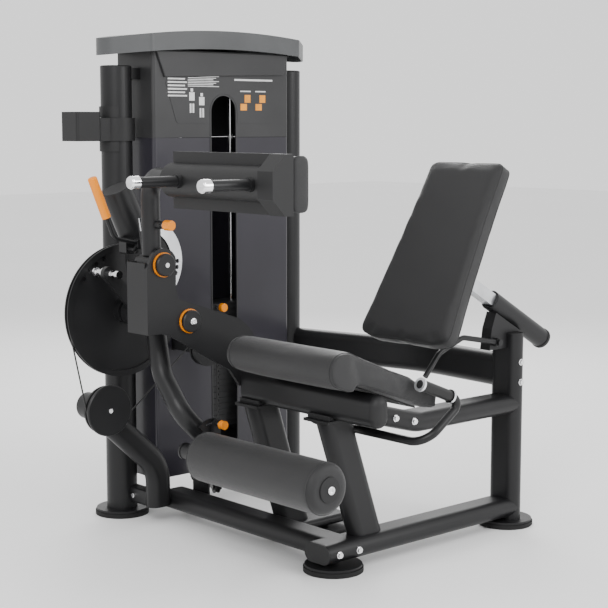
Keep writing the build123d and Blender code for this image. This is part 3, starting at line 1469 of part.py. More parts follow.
# ---- seat -----------------------------------------------------------------------------------
ROLL = (-80.0, 637.0, 53.0)
with BuildPart() as seat_pad:
    with BuildSketch(side_plane(SEAT_X - SEAT_W / 2)):
        with BuildLine():
            CenterArc((ROLL[0], ROLL[1]), ROLL[2], 0, 360)
            Polyline(
                (-70, 612),
                (286, 480),
                (290, 518),
                (178, 588),
                (-60, 686),
                close=True,
            )
        make_hull()
        with BuildLine():
            Polyline((-46, 560), (-26, 596), (288, 479.6), (288, 440), (-46, 440), close=True)
        make_face(mode=Mode.SUBTRACT)
    extrude(amount=SEAT_W)
save(seat_pad, "seat_pad")

with BuildPart() as seat_pan:
    with BuildSketch(side_plane(SEAT_X - 150)):
        with BuildLine():
            Polyline(
                (-20, 593.3),
                (270, 485.8),
                (270, 480.2),
                (-20, 587.7),
                close=True,
            )
        make_face()
    extrude(amount=300)
save(seat_pan, "seat_pan")

# ---- hand grips -----------------------------------------------------------------------------
GRIP_SPREAD = 255.0
BAR_R = 12.5
bar_points = []
for sign in (-1, 1):
    side_points = [
        (SEAT_X + sign * GRIP_SPREAD, 180.0, 574.0),
        (SEAT_X + sign * GRIP_SPREAD, 356.0, 504.4),
        (SEAT_X + sign * GRIP_SPREAD, 203.0, 400.0),
    ]
    if sign == -1:
        bar_points.extend(side_points)
    else:
        bar_points.extend(reversed(side_points))
with BuildPart() as handlebar:
    add(
        swept(
            floor_plane(0),
            bar_points,
            [22.0, 60.0, 60.0, 22.0],
            X_AXIS,
            (0, 176.0, -69.6),
            ring(BAR_R),
        )
    )
save(handlebar, "handlebar")

with BuildPart() as hand_grips:
    for sign in (-1, 1):
        x = SEAT_X + sign * GRIP_SPREAD
        for start, length, radius in ((-1, 8, 20), (7, 124, 16.5), (131, 8, 20)):
            way = Vector(0, 176.0, -69.6).normalized()
            place = Vector(x, 180, 574) + way * start
            add(rod((place.X, place.Y, place.Z), (0, 176.0, -69.6), length, radius, BAR_R))
save(hand_grips, "hand_grips")

# ---- backrest -------------------------------------------------------------------------------
SLEEVE_WAY = (0, cos(radians(30)), -sin(radians(30)))
SLEEVE_Y = 764.0
SLEEVE_Z = 742.0
SLEEVE_L = 290.0
SLEEVE_R = 32.0
RELEASE_PIVOT = (766.0, 609.0)
RELEASE_PIN_R = 5.0
BAR_HALF = 19.0


def inclined(distance, x=SEAT_X):
    """Local point on the adjuster's axis, measured from the sleeve's mouth down to the back."""
    return x, SLEEVE_Y + SLEEVE_WAY[1] * distance, SLEEVE_Z + SLEEVE_WAY[2] * distance


with BuildPart() as adjuster_sleeve:
    with BuildSketch(turned_plane(inclined(0), X_AXIS, SLEEVE_WAY)):
        Circle(SLEEVE_R)
        Rectangle(2 * BAR_HALF + 2 * FREE_GAP, 2 * BAR_HALF + 2 * FREE_GAP, mode=Mode.SUBTRACT)
    extrude(amount=SLEEVE_L)
    with BuildSketch(side_plane(SEAT_X - 20)):
        with BuildLine():
            Polyline(
                (UPRIGHT_Y - 112, 584),
                (UPRIGHT_Y - TUBE_H / 2, 584),
                (UPRIGHT_Y - TUBE_H / 2, UPRIGHT_TOP + 5),
                (UPRIGHT_Y + 40, UPRIGHT_TOP + 5),
                (SLEEVE_Y + 60, SLEEVE_Z - 70),
                (SLEEVE_Y + 8, SLEEVE_Z - 40),
                (SLEEVE_Y - 12, SLEEVE_Z - 90),
                close=True,
            )
        make_face()
    extrude(amount=40)
    add(rod((SEAT_X + 10, *RELEASE_PIVOT), X_AXIS, 34, RELEASE_PIN_R))
    add(rod((SEAT_X + 41, *RELEASE_PIVOT), X_AXIS, 6, 10))
save(adjuster_sleeve, "adjuster_sleeve")

with BuildPart() as sleeve_cap:
    with BuildSketch(turned_plane(inclined(SLEEVE_L), X_AXIS, SLEEVE_WAY)):
        Circle(SLEEVE_R + 2)
    extrude(amount=14)
    fillet(sleeve_cap.faces().sort_by(Axis.Z)[0].edges(), radius=6)

with BuildPart() as end_caps:
    add(rail_end_caps.part)
    add(beam_end_cap.part)
    add(pillar_caps.part)
    add(sleeve_cap.part)
save(end_caps, "end_caps")

RECLINE = 28.7
BACK_T = 62.0
BACK_L = 610.0
BACK_LOW = (351.0, 654.0)
BACK_UP = (0, sin(radians(RECLINE)), cos(radians(RECLINE)))
BACK_OUT = (0, cos(radians(RECLINE)), -sin(radians(RECLINE)))
with BuildPart() as backrest_bar:
    with BuildSketch(turned_plane(inclined(-222), X_AXIS, SLEEVE_WAY)):
        Rectangle(2 * BAR_HALF, 2 * BAR_HALF)
    extrude(amount=222 + 190)
    with BuildSketch(
        turned_plane(
            (SEAT_X, BACK_LOW[0] + BACK_OUT[1] * (BACK_T + 8), BACK_LOW[1] + BACK_OUT[2] * (BACK_T + 8)),
            X_AXIS,
            (0, -BACK_OUT[1], -BACK_OUT[2]),
        )
    ):
        with Locations((0, 290)):
            RectangleRounded(150, 260, 10)
    extrude(amount=6)
save(backrest_bar, "backrest_bar")

with BuildPart() as backrest_pad:
    with BuildSketch(
        turned_plane(
            (SEAT_X, BACK_LOW[0] + BACK_OUT[1] * BACK_T, BACK_LOW[1] + BACK_OUT[2] * BACK_T),
            X_AXIS,
            (0, -BACK_OUT[1], -BACK_OUT[2]),
        )
    ):
        with BuildLine():
            FilletPolyline(
                (-192, 14),
                (-120, -4),
                (120, -4),
                (192, 14),
                (153, BACK_L),
                (-153, BACK_L),
                radius=30,
                close=True,
            )
        make_face()
    extrude(amount=BACK_T)
    fillet(backrest_pad.faces().sort_by(Axis.Y)[0].edges(), radius=14)
save(backrest_pad, "backrest_pad")

RELEASE_X = SEAT_X + 30.0
release_points = [RELEASE_PIVOT, (604.0, 640.0), (500.0, 603.0), (438.0, 536.0)]
with BuildPart() as release_rod:
    add(
        swept(
            side_plane(RELEASE_X),
            release_points,
            [40.0, 60.0],
            X_AXIS,
            (0, -162.0, 31.0),
            ring(8.5),
        )
    )
    add(rod((RELEASE_X - 9, *RELEASE_PIVOT), X_AXIS, 18, 14))
    add(rod((RELEASE_X - 10, *RELEASE_PIVOT), X_AXIS, 20, RELEASE_PIN_R + RUN_GAP), mode=Mode.SUBTRACT)
save(release_rod, "release_rod")

# ---- bolts ----------------------------------------------------------------------------------
BOLT_HEAD_R = 8.0
BOLT_HEAD_H = 6.0
WASHER_R = 10.5
WASHER_H = 2.0
CAP_BOLT_R = 7.0
CAP_BOLT_H = 4.0
SIDE_BOLTS = [
    (SEAT_X + TUBE_W / 2, 62.0, RAIL_Z),
    (SEAT_X + TUBE_W / 2, 140.0, RAIL_Z),
    (SEAT_X + TUBE_W / 2, UPRIGHT_Y, 474.0),
    (SEAT_X + TUBE_W / 2, UPRIGHT_Y, 539.0),
    (SEAT_X + TUBE_W / 2, 287.0, 433.0),
    (SEAT_X + TUBE_W / 2, 366.0, 413.0),
]
CAP_BOLTS = [
    (CAM_X + 21.0, P1_Y, P1_Z),
    (CAM_X + 20.0, P2_Y, P2_Z),
    (FACE_X + RING_T + 12, THIGH_Y, THIGH_Z),
]
with BuildPart() as frame_bolts:
    for place in SIDE_BOLTS:
        add(rod(place, X_AXIS, WASHER_H, WASHER_R))
        add(rod((place[0] + WASHER_H, place[1], place[2]), X_AXIS, BOLT_HEAD_H, BOLT_HEAD_R))
    for place in CAP_BOLTS:
        add(rod(place, X_AXIS, CAP_BOLT_H, CAP_BOLT_R))
    for x in (178.0, 250.0):
        add(rod((x, FRONT_RAIL_Y + TUBE_W / 2, RAIL_Z + 62), (0, -1, 0), BOLT_HEAD_H, BOLT_HEAD_R))
    add(rod((72.0, CONNECT_Y - 23, RAIL_Z + 10), (0, -1, 0), BOLT_HEAD_H, BOLT_HEAD_R))
save(frame_bolts, "frame_bolts")
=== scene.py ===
import math
import bpy
from mathutils import Matrix, Vector


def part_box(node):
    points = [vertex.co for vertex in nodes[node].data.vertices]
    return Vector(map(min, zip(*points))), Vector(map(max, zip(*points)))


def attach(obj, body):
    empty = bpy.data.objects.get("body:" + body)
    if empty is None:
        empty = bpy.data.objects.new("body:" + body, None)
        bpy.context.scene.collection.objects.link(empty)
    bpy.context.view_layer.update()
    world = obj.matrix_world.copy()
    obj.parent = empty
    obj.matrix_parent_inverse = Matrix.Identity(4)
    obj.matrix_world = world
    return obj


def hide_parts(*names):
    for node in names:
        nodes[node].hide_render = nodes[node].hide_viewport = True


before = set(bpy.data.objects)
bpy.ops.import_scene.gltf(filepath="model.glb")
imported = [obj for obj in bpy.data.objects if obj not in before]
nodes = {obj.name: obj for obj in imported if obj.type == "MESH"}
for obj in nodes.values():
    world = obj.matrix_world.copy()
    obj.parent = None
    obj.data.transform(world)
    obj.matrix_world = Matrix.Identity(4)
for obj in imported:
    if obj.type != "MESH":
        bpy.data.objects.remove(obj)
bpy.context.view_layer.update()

# Camera. A long lens at head height, turned to the machine's front right corner,
# so that the tower stands on the left and the seat on the right.
camera_data = bpy.data.cameras.new("view_camera")
camera_data.lens = 87.15
camera_data.sensor_width = 36.0
camera_data.clip_start = 0.1
camera_data.clip_end = 60.0
camera = bpy.data.objects.new("view_camera", camera_data)
camera.location = (3.450, -3.0295, 1.300)
BELOW_LEVEL = 7.04
TURNED_LEFT = 48.24
camera.rotation_euler = (math.radians(90 - BELOW_LEVEL), 0, math.radians(TURNED_LEFT))
bpy.context.scene.collection.objects.link(camera)
bpy.context.scene.camera = camera


# Steel frame. Flat-oval and round tube, MIG welded, sprayed with black powder and baked,
# which leaves a fine orange-peel skin and a soft satin sheen.
DARKER, LIGHTER = 0.86, 1.14
GLOSSIER, DULLER = 0.82, 1.2


def surface(
    name, colour, rough, metal, mottle, grain, depth, stretch=(1, 1, 1), coat=0.0, shine=0.3
):
    """Procedural skin: slow colour mottle, broken-up gloss and a fine grain in relief."""
    material = bpy.data.materials.new(name)
    material.use_nodes = True
    tree = material.node_tree
    shader = tree.nodes["Principled BSDF"]
    shader.inputs["Metallic"].default_value = metal
    shader.inputs["Specular IOR Level"].default_value = shine
    shader.inputs["Coat Weight"].default_value = coat
    shader.inputs["Coat Roughness"].default_value = 0.12
    place = tree.nodes.new("ShaderNodeTexCoord")
    scaled = tree.nodes.new("ShaderNodeMapping")
    scaled.inputs["Scale"].default_value = stretch
    tree.links.new(place.outputs["Object"], scaled.inputs["Vector"])
    slow = tree.nodes.new("ShaderNodeTexNoise")
    slow.inputs["Scale"].default_value = mottle
    slow.inputs["Detail"].default_value = 4.0
    fine = tree.nodes.new("ShaderNodeTexNoise")
    fine.inputs["Scale"].default_value = grain
    fine.inputs["Detail"].default_value = 2.0
    tree.links.new(scaled.outputs["Vector"], slow.inputs["Vector"])
    tree.links.new(scaled.outputs["Vector"], fine.inputs["Vector"])
    tone = tree.nodes.new("ShaderNodeValToRGB")
    tone.color_ramp.elements[0].position = 0.3
    tone.color_ramp.elements[1].position = 0.7
    tone.color_ramp.elements[0].color = (*[channel * DARKER for channel in colour], 1)
    tone.color_ramp.elements[1].color = (*[min(1, channel * LIGHTER) for channel in colour], 1)
    tree.links.new(slow.outputs["Fac"], tone.inputs["Fac"])
    tree.links.new(tone.outputs["Color"], shader.inputs["Base Color"])
    gloss = tree.nodes.new("ShaderNodeMapRange")
    gloss.inputs["To Min"].default_value = rough * GLOSSIER
    gloss.inputs["To Max"].default_value = min(1, rough * DULLER)
    tree.links.new(slow.outputs["Fac"], gloss.inputs["Value"])
    tree.links.new(gloss.outputs["Result"], shader.inputs["Roughness"])
    relief = tree.nodes.new("ShaderNodeBump")
    relief.inputs["Strength"].default_value = 0.35
    relief.inputs["Distance"].default_value = depth
    tree.links.new(fine.outputs["Fac"], relief.inputs["Height"])
    tree.links.new(relief.outputs["Normal"], shader.inputs["Normal"])
    return material


def dress(material, *names):
    """Puts one material on every slot of the named CAD nodes."""
    for name in names:
        mesh = nodes[name].data
        mesh.materials.clear()
        mesh.materials.append(material)
        for polygon in mesh.polygons:
            polygon.material_index = 0


powder_coat = surface("satin_powder_coat", (0.0095, 0.0095, 0.0102), 0.38, 0.0, 7, 620, 0.0004)
dress(
    powder_coat, "side_rail", "front_rail", "rear_upright", "inner_rail", "slanted_legs",
    "seat_beam", "mid_rail", "curved_tube", "pulley_arm", "foot_flanges", "tower_rails",
    "tower_pillars", "pulley_brackets", "pivot_frame", "seat_pan", "handlebar",
    "adjuster_sleeve", "release_rod", "lever_frame", "counterweight", "roller_carrier",
    "thigh_arm", "knee_shaft", "thigh_shaft", "cam_disc",
)

# Feet and stoppers. Moulded black rubber discs and bumpers, screwed to the flanges,
# with the dull, slightly dusty skin that rubber takes on a gym floor.
rubber = surface("moulded_rubber", (0.009, 0.009, 0.009), 0.72, 0.0, 14, 380, 0.0006)
dress(rubber, "foot_pads", "stack_bumpers")

# Caps, pulleys, cup holder and the shell of the thigh pad. Injection-moulded nylon, with
# the fine grain of a spark-eroded mould. They are pressed in, pinned or screwed on.
nylon = surface("grained_nylon", (0.012, 0.012, 0.0125), 0.5, 0.0, 10, 900, 0.0004)
dress(
    nylon, "end_caps", "drink_holder", "front_pulley", "middle_pulley", "floor_pulley",
    "riser_pulley", "top_pulley", "thigh_shell",
)

# Tower covers. Grey vacuum-formed crown and header, with smoke-grey plastic sheets below
# that clip in between the two pillars.
crown_plastic = surface("crown_plastic", (0.070, 0.072, 0.074), 0.38, 0.0, 5, 500, 0.0003)
dress(crown_plastic, "crown")
header_plastic = surface("header_plastic", (0.030, 0.030, 0.031), 0.36, 0.0, 5, 500, 0.0003)
dress(header_plastic, "upper_shroud", "front_header")
crown_edge = nodes["crown"].modifiers.new("soft_edge", "BEVEL")
crown_edge.width = 0.016
crown_edge.segments = 3
crown_edge.limit_method = "ANGLE"
smoke_sheet = surface("smoke_sheet", (0.022, 0.0205, 0.027), 0.30, 0.0, 3, 260, 0.0002, coat=0.2)
dress(smoke_sheet, "shroud_panels")

# Placard. Instructions are screen printed on the shroud; here they are plain bars and
# blocks with no words, a fraction of a millimetre proud of the sheet.
ink = surface("pale_ink", (0.62, 0.62, 0.62), 0.5, 0.0, 20, 600, 0.00005)
warm_ink = surface("warm_ink", (0.75, 0.28, 0.02), 0.5, 0.0, 20, 600, 0.00005)
INK_T = 0.0006
INK_RIM = 0.0002
HEADER_T = 0.009
PLACARD_T = 0.0012
placard_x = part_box("front_header")[1].x - HEADER_T + PLACARD_T


def printed(name, boxes, material):
    """Joins thin bevelled bars, each given by its low and high corner on the placard."""
    bpy.ops.object.select_all(action="DESELECT")
    bars = []
    for y_low, z_low, y_high, z_high in boxes:
        bpy.ops.mesh.primitive_cube_add(
            size=1,
            location=(placard_x + INK_T / 4, (y_low + y_high) / 2, (z_low + z_high) / 2),
            scale=(INK_T, y_high - y_low, z_high - z_low),
        )
        bars.append(bpy.context.view_layer.objects.active)
    for bar in bars:
        bar.select_set(True)
    bpy.ops.object.transform_apply(location=True, rotation=False, scale=True)
    if len(bars) > 1:
        bpy.ops.object.join()
    sheet = bpy.context.view_layer.objects.active
    sheet.name = name
    rim = sheet.modifiers.new("rim", "BEVEL")
    rim.width = INK_RIM
    rim.segments = 2
    bpy.ops.object.modifier_apply(modifier="rim")
    sheet.data.materials.append(material)
    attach(sheet, "frame")


LINE_PITCH = 0.0055
PICTURE_PITCH = 0.011
text_bars = [
    (-0.056, 1.450 - LINE_PITCH * row, 0.074 - 0.012 * (row % 3), 1.4525 - LINE_PITCH * row)
    for row in range(7)
]
title_bar = [(0.141, 1.439, 0.309, 1.445)]
caption_bars = [(0.166, 1.402, 0.212, 1.406), (0.232, 1.402, 0.278, 1.406)]
picture_bars = [
    (-0.138, 1.384 + PICTURE_PITCH * row, -0.060 - 0.008 * (row % 2), 1.389 + PICTURE_PITCH * row)
    for row in range(6)
]
figure_bars = []
for middle, top in ((-0.040, 1.411), (0.001, 1.396)):
    figure_bars.append((middle - 0.005, top - 0.011, middle + 0.005, top))
    figure_bars.append((middle - 0.011, top - 0.040, middle + 0.011, top - 0.013))
    figure_bars.append((middle - 0.009, top - 0.080, middle - 0.002, top - 0.050))
    figure_bars.append((middle + 0.002, top - 0.080, middle + 0.009, top - 0.050))
pale_bars = text_bars + title_bar + caption_bars + picture_bars + figure_bars
printed("placard_bars", pale_bars, ink)
icon_blocks = []
for middle in (0.189, 0.255):
    icon_blocks.append((middle - 0.022, 1.340, middle + 0.006, 1.362))
    icon_blocks.append((middle - 0.004, 1.366, middle + 0.022, 1.392))
printed("placard_blocks", icon_blocks, warm_ink)

# Weight stack. Cast iron plates, machined on the faces and painted, on two polished rods.
cast_iron = surface("painted_iron", (0.022, 0.022, 0.023), 0.55, 0.0, 30, 240, 0.0010)
dress(cast_iron, "resting_plates", "lifted_weight")
chrome = surface("chrome_plate", (0.86, 0.86, 0.87), 0.14, 1.0, 18, 700, 0.00008)
dress(chrome, "guide_rods", "frame_bolts", "latch_pin", "latch_barrel")

# Sector plate and backrest bar. Bare steel, zinc plated and brushed along its length.
brushed = surface(
    "brushed_zinc", (0.74, 0.75, 0.77), 0.34, 1.0, 12, 160, 0.00025, stretch=(6, 1, 1)
)
dress(brushed, "sector_plate", "backrest_bar")


# Two-part finishes. A sleeve, collar or tip of another finish is pressed on the same rod,
# so the finish changes at a distance along the rod's own direction.
PLAIN_GLOSS = 0.38


def banded(name, base, other, start, way, bands):
    """Copies a material and changes its colour, metal and gloss within bands along a line."""
    material = base.copy()
    material.name = name
    tree = material.node_tree
    shader = tree.nodes["Principled BSDF"]
    other_shader = other.node_tree.nodes["Principled BSDF"]
    place = tree.nodes["Texture Coordinate"]
    along = tree.nodes.new("ShaderNodeVectorMath")
    along.operation = "DOT_PRODUCT"
    direction = Vector(way).normalized()
    along.inputs[1].default_value = direction
    tree.links.new(place.outputs["Object"], along.inputs[0])
    offset = direction.dot(Vector(start))
    mask = None
    for low, high in bands:
        band = tree.nodes.new("ShaderNodeMath")
        band.operation = "COMPARE"
        band.inputs[1].default_value = offset + (low + high) / 2
        band.inputs[2].default_value = (high - low) / 2
        tree.links.new(along.outputs["Value"], band.inputs[0])
        if mask is None:
            mask = band.outputs["Value"]
        else:
            both = tree.nodes.new("ShaderNodeMath")
            both.operation = "MAXIMUM"
            tree.links.new(mask, both.inputs[0])
            tree.links.new(band.outputs["Value"], both.inputs[1])
            mask = both.outputs["Value"]
    paint = other.node_tree.nodes["Color Ramp"].color_ramp.elements[1].color
    colour = tree.nodes.new("ShaderNodeMix")
    colour.data_type = "RGBA"
    tree.links.new(mask, colour.inputs["Factor"])
    tree.links.new(tree.nodes["Color Ramp"].outputs["Color"], colour.inputs[6])
    colour.inputs[7].default_value = paint
    tree.links.new(colour.outputs[2], shader.inputs["Base Color"])
    metal = shader.inputs["Metallic"].default_value
    other_metal = other_shader.inputs["Metallic"].default_value
    other_gloss = other.node_tree.nodes["Map Range"].inputs["To Min"].default_value
    for socket, first, second in (
        ("Metallic", metal, other_metal),
        ("Roughness", PLAIN_GLOSS, other_gloss * DULLER),
    ):
        level = tree.nodes.new("ShaderNodeMapRange")
        level.inputs["To Min"].default_value = first
        level.inputs["To Max"].default_value = second
        tree.links.new(mask, level.inputs["Value"])
        tree.links.new(level.outputs["Result"], shader.inputs[socket])
    return material


# Grips and pop-pin knobs. Amber gloss plastic, so that every adjustment is easy to find.
amber = surface("amber_plastic", (0.70, 0.21, 0.0), 0.28, 0.0, 16, 420, 0.0002, coat=0.4)
dress(amber, "bearing_rings")
GRIP_WAY = (0, -0.378, 0.926)
grip_low = (0, -0.5965, 1.023)
bands = [(-0.002, 0.3)]
dress(banded("grip_sleeve", powder_coat, amber, grip_low, GRIP_WAY, bands), "release_grip")
for node, knob_length in (("selector_pin", 0.016), ("carrier_pin", 0.018), ("thigh_pin", 0.028)):
    pin_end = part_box(node)[1]
    bands = [(-knob_length - 0.001, 0.01)]
    dress(banded(node + "_finish", chrome, amber, pin_end, (1, 0, 0), bands), node)

# Handles. Black tube with a polished cap on each end, and a bright collar at both ends of
# each rubber hand grip beside the seat.
handle_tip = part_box("thigh_handles")[0]
bands = [(-0.01, 0.022)]
dress(banded("handle_finish", powder_coat, chrome, handle_tip, (0, 1, 0), bands), "thigh_handles")
grip_start = (0, -0.0915, 0.574)
GRIP_SLOPE = (0, 176.0, -69.6)
bands = [(-0.012, 0.0065), (0.1315, 0.15)]
dress(banded("hand_grip_finish", rubber, brushed, grip_start, GRIP_SLOPE, bands), "hand_grips")

# Cable. Steel rope under a smooth black nylon jacket, pressed into an end fitting at the
# cam and at the top weight.
jacket = surface("cable_jacket", (0.015, 0.015, 0.015), 0.4, 0.0, 40, 1500, 0.0002)
dress(jacket, "drive_cable", "stack_cable")


# Cushions. Moulded foam on plywood, wrapped in black leatherette that is sewn round the
# edge: the foam pushes the cover out, so every face is crowned between its seams.
def leatherette():
    """Fine pebbled grain: small cells with creases between them, over a slow mottle."""
    material = surface("leatherette", (0.0115, 0.0115, 0.0122), 0.46, 0.0, 8, 700, 0.0004)
    tree = material.node_tree
    shader = tree.nodes["Principled BSDF"]
    shader.inputs["Sheen Weight"].default_value = 0.12
    place = tree.nodes["Texture Coordinate"]
    cells = tree.nodes.new("ShaderNodeTexVoronoi")
    cells.feature = "DISTANCE_TO_EDGE"
    cells.inputs["Scale"].default_value = 420
    tree.links.new(place.outputs["Object"], cells.inputs["Vector"])
    crease = tree.nodes.new("ShaderNodeMapRange")
    crease.inputs["From Max"].default_value = 0.18
    tree.links.new(cells.outputs["Distance"], crease.inputs["Value"])
    relief = tree.nodes.new("ShaderNodeBump")
    relief.inputs["Strength"].default_value = 0.4
    relief.inputs["Distance"].default_value = 0.0005
    tree.links.new(crease.outputs["Result"], relief.inputs["Height"])
    tree.links.new(tree.nodes["Bump"].outputs["Normal"], relief.inputs["Normal"])
    tree.links.new(relief.outputs["Normal"], shader.inputs["Normal"])
    return material


def alone(piece):
    """Leaves only this piece selected and active."""
    bpy.ops.object.select_all(action="DESELECT")
    piece.select_set(True)
    bpy.context.view_layer.objects.active = piece


def apply_all(piece):
    """Applies the piece's modifiers in order."""
    alone(piece)
    for modifier in list(piece.modifiers):
        bpy.ops.object.modifier_apply(modifier=modifier.name)


SHRINK = 0.005
VOXEL = 0.006
CLOTH_STIFF = 25
CLOTH_BEND = 12
LAST_FRAME = 20


def cushion(node, name, body, pressure, cap):
    """Swells a cushion from its solid by cloth simulation and puts it in the solid's place."""
    pad = nodes[node].copy()
    pad.data = nodes[node].data.copy()
    for key in list(pad.keys()):
        del pad[key]
    pad.parent = None
    pad.name = name
    bpy.context.scene.collection.objects.link(pad)
    pad.data.materials.clear()
    pad.data.materials.append(cover)
    remesh = pad.modifiers.new("remesh", "REMESH")
    remesh.mode = "VOXEL"
    remesh.voxel_size = VOXEL
    shrink = pad.modifiers.new("shrink", "DISPLACE")
    shrink.mid_level = 0.0
    shrink.strength = -SHRINK
    even = pad.modifiers.new("even", "SMOOTH")
    even.iterations = 4
    apply_all(pad)
    before = [vertex.co.copy() for vertex in pad.data.vertices]
    cloth = pad.modifiers.new("swell", "CLOTH")
    cloth.settings.quality = 5
    cloth.settings.use_pressure = True
    cloth.settings.uniform_pressure_force = pressure
    cloth.settings.effector_weights.gravity = 0
    cloth.settings.tension_stiffness = CLOTH_STIFF
    cloth.settings.compression_stiffness = CLOTH_STIFF
    cloth.settings.bending_stiffness = CLOTH_BEND
    cloth.point_cache.frame_start = 1
    cloth.point_cache.frame_end = LAST_FRAME
    for step in range(1, LAST_FRAME + 1):
        bpy.context.scene.frame_set(step)
    apply_all(pad)
    bpy.context.scene.frame_set(1)
    for vertex, start in zip(pad.data.vertices, before):
        move = vertex.co - start
        if move.length > cap:
            vertex.co = start + move.normalized() * cap
    settle = pad.modifiers.new("settle", "SMOOTH")
    settle.factor = 0.5
    settle.iterations = 14
    apply_all(pad)
    finer = pad.modifiers.new("finer", "SUBSURF")
    finer.levels = 1
    finer.render_levels = 1
    apply_all(pad)
    pad.data.polygons.foreach_set("use_smooth", [True] * len(pad.data.polygons))
    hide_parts(node)
    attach(pad, body)
    return pad


WELT_R = 0.0016


def seam(pad, name, body, point, normal):
    """Sewn welt: the line where a plane cuts the finished cushion, as a thin raised cord."""
    welt = bpy.data.objects.new(name, pad.data.copy())
    bpy.context.scene.collection.objects.link(welt)
    alone(welt)
    bpy.ops.object.mode_set(mode="EDIT")
    bpy.ops.mesh.select_all(action="SELECT")
    bpy.ops.mesh.bisect(
        plane_co=point, plane_no=normal, use_fill=False, clear_inner=True, clear_outer=True
    )
    bpy.ops.object.mode_set(mode="OBJECT")
    bpy.ops.object.convert(target="CURVE")
    welt = bpy.context.view_layer.objects.active
    welt.data.bevel_depth = WELT_R
    welt.data.bevel_resolution = 2
    bpy.ops.object.convert(target="MESH")
    welt = bpy.context.view_layer.objects.active
    welt.name = name
    welt.data.materials.clear()
    welt.data.materials.append(cover)
    welt.data.polygons.foreach_set("use_smooth", [True] * len(welt.data.polygons))
    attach(welt, body)


cover = leatherette()

# Seat. A thick roll under the knees runs back into a flat pad, screwed to the pan below.
# Foam on plywood in leatherette, with a sewn line along each side.
seat = cushion("seat_pad", "seat_cushion", "frame", 2.5, 0.007)
seat_low, seat_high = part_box("seat_pad")
SEAT_WELT_IN = 0.018
for side, x in (("left", seat_low.x + SEAT_WELT_IN), ("right", seat_high.x - SEAT_WELT_IN)):
    seam(seat, "seat_seam_" + side, "frame", (x, 0, 0), (1, 0, 0))

# Backrest. A tapered plywood board with 60 mm of foam under leatherette, leaning back on
# the bar that slides in the sleeve. A sewn line runs round it near the front and the back.
backrest = cushion("backrest_pad", "backrest_cushion", "backrest", 2.5, 0.007)
LEAN = math.radians(28.7)
back_out = Vector((0, math.cos(LEAN), -math.sin(LEAN)))
back_front = Vector((0.390, 0.0795, 0.654))
for label, inset in (("front", 0.015), ("rear", 0.049)):
    seam(backrest, "backrest_seam_" + label, "backrest", back_front + back_out * inset, back_out)

# Thigh pad. A long foam block covered in leatherette, in a plastic shell that swings down
# over the thighs.
thigh = cushion("thigh_pad", "thigh_cushion", "thigh_holder", 2.0, 0.006)
thigh_low, thigh_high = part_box("thigh_pad")
THIGH_WELT_IN = 0.012
for side, x in (("left", thigh_low.x + THIGH_WELT_IN), ("right", thigh_high.x - THIGH_WELT_IN)):
    seam(thigh, "thigh_seam_" + side, "thigh_holder", (x, 0, 0), (1, 0, 0))

# Shin roller. A foam tube in a leatherette sleeve with sewn ends, free to turn on its
# axle.
shin = cushion("roller", "shin_cushion", "shin_roller", 2.0, 0.006)
roller_low, roller_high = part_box("roller")
for side, x in (("left", roller_low.x + 0.014), ("right", roller_high.x - 0.022)):
    seam(shin, "roller_seam_" + side, "shin_roller", (x, 0, 0), (1, 0, 0))


# Turned trim. Chrome dome bolts with a round socket, a moulded end disc on the roller and
# bright caps on the handles, each pressed or screwed into the end of its shaft.
POINTING_UP = 0.9
FLAT_TOP = 0.999


def turned(name, place, way, radius, height, body, material, socket=0.0):
    """Disc along a direction, rounded at its rim, with a round socket if asked for."""
    rim = min(height * 0.45, radius * 0.3)
    bpy.ops.object.select_all(action="DESELECT")
    bpy.ops.mesh.primitive_cylinder_add(vertices=48, radius=radius, depth=height)
    piece = bpy.context.view_layer.objects.active
    piece.name = name
    bpy.ops.object.mode_set(mode="EDIT")
    bpy.ops.mesh.select_mode(type="FACE")
    bpy.ops.mesh.select_all(action="DESELECT")
    bpy.ops.object.mode_set(mode="OBJECT")
    for polygon in piece.data.polygons:
        polygon.select = polygon.normal.z > POINTING_UP
    bpy.ops.object.mode_set(mode="EDIT")
    bpy.ops.mesh.bevel(offset=rim, segments=4)
    bpy.ops.object.mode_set(mode="OBJECT")
    if socket:
        for polygon in piece.data.polygons:
            central = polygon.center.xy.length < radius * 0.1
            polygon.select = polygon.normal.z > FLAT_TOP and central
        bpy.ops.object.mode_set(mode="EDIT")
        bpy.ops.mesh.inset(thickness=radius - rim - socket)
        bpy.ops.mesh.extrude_region_move(TRANSFORM_OT_translate={"value": (0, 0, -height * 0.5)})
        bpy.ops.object.mode_set(mode="OBJECT")
    turn = Vector(way).to_track_quat("Z", "Y").to_matrix().to_4x4()
    piece.data.transform(Matrix.Translation(Vector(place) + Vector(way) * height / 2) @ turn)
    piece.data.materials.append(material)
    alone(piece)
    bpy.ops.object.shade_smooth_by_angle(angle=math.radians(35))
    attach(piece, body)


knee_low, knee_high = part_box("knee_shaft")
knee_y = (knee_low.y + knee_high.y) / 2
knee_z = (knee_low.z + knee_high.z) / 2
SOCKET_R = 0.005
OUTWARD = (1, 0, 0)
knee_end = (knee_high.x, knee_y, knee_z)
turned("knee_bolt", knee_end, OUTWARD, 0.011, 0.007, "cam", chrome, SOCKET_R)

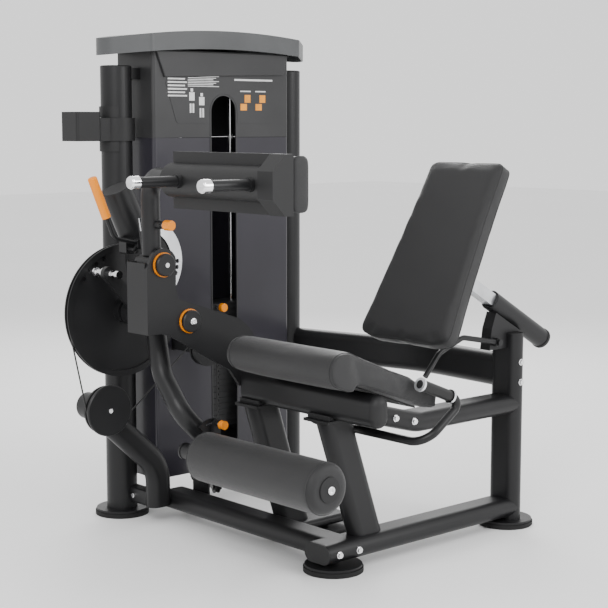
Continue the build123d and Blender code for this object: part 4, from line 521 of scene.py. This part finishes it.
roller_y = (roller_low.y + roller_high.y) / 2
roller_z = (roller_low.z + roller_high.z) / 2
axle_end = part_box("roller_carrier")[1].x
disc_foot = (axle_end + 0.0005, roller_y, roller_z)
bolt_foot = (axle_end + 0.0055, roller_y, roller_z)
turned(
    "roller_end_disc", disc_foot, OUTWARD, 0.036, 0.005, "carrier", nylon
)
turned("roller_bolt", bolt_foot, OUTWARD, 0.012, 0.006, "carrier", chrome, SOCKET_R)

handle_low, handle_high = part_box("thigh_handles")
handle_z = (handle_low.z + handle_high.z) / 2
for label, x in (("inner", handle_low.x + 0.019), ("outer", handle_high.x - 0.019)):
    turned(
        "handle_cap_" + label, (x, handle_low.y + 0.0005, handle_z), (0, -1, 0),
        0.0165, 0.006, "thigh_holder", chrome,
    )

# Studio. A pale seamless floor under three large soft boxes and a bright even surround.
bpy.ops.object.select_all(action="DESELECT")
bpy.ops.mesh.primitive_plane_add(size=40, location=(0, 0, 0))
floor = bpy.context.view_layer.objects.active
floor.name = "studio_floor"
floor_paint = surface("pale_floor", (0.90, 0.90, 0.90), 0.7, 0.0, 0.4, 60, 0.00002)
floor_tone = floor_paint.node_tree.nodes["Color Ramp"].color_ramp
floor_tone.elements[0].color = (0.89, 0.89, 0.89, 1)
floor_tone.elements[1].color = (0.91, 0.91, 0.91, 1)
floor.data.materials.append(floor_paint)

world = bpy.data.worlds.new("soft_surround")
bpy.context.scene.world = world
world.use_nodes = True
world.node_tree.nodes["Background"].inputs["Color"].default_value = (1, 1, 1, 1)
world.node_tree.nodes["Background"].inputs["Strength"].default_value = 1.35

for label, place, size, power in (
    ("key", (2.6, -3.4, 3.4), 2.2, 130),
    ("side", (4.2, 1.8, 2.4), 2.0, 90),
    ("rim", (-2.8, 2.6, 3.0), 2.0, 90),
):
    lamp_data = bpy.data.lights.new("lamp_" + label, "AREA")
    lamp_data.size = size
    lamp_data.energy = power
    lamp = bpy.data.objects.new("lamp_" + label, lamp_data)
    lamp.location = place
    lamp.rotation_euler = (Vector((0, 0, 0.8)) - Vector(place)).to_track_quat("-Z", "Y").to_euler()
    bpy.context.scene.collection.objects.link(lamp)
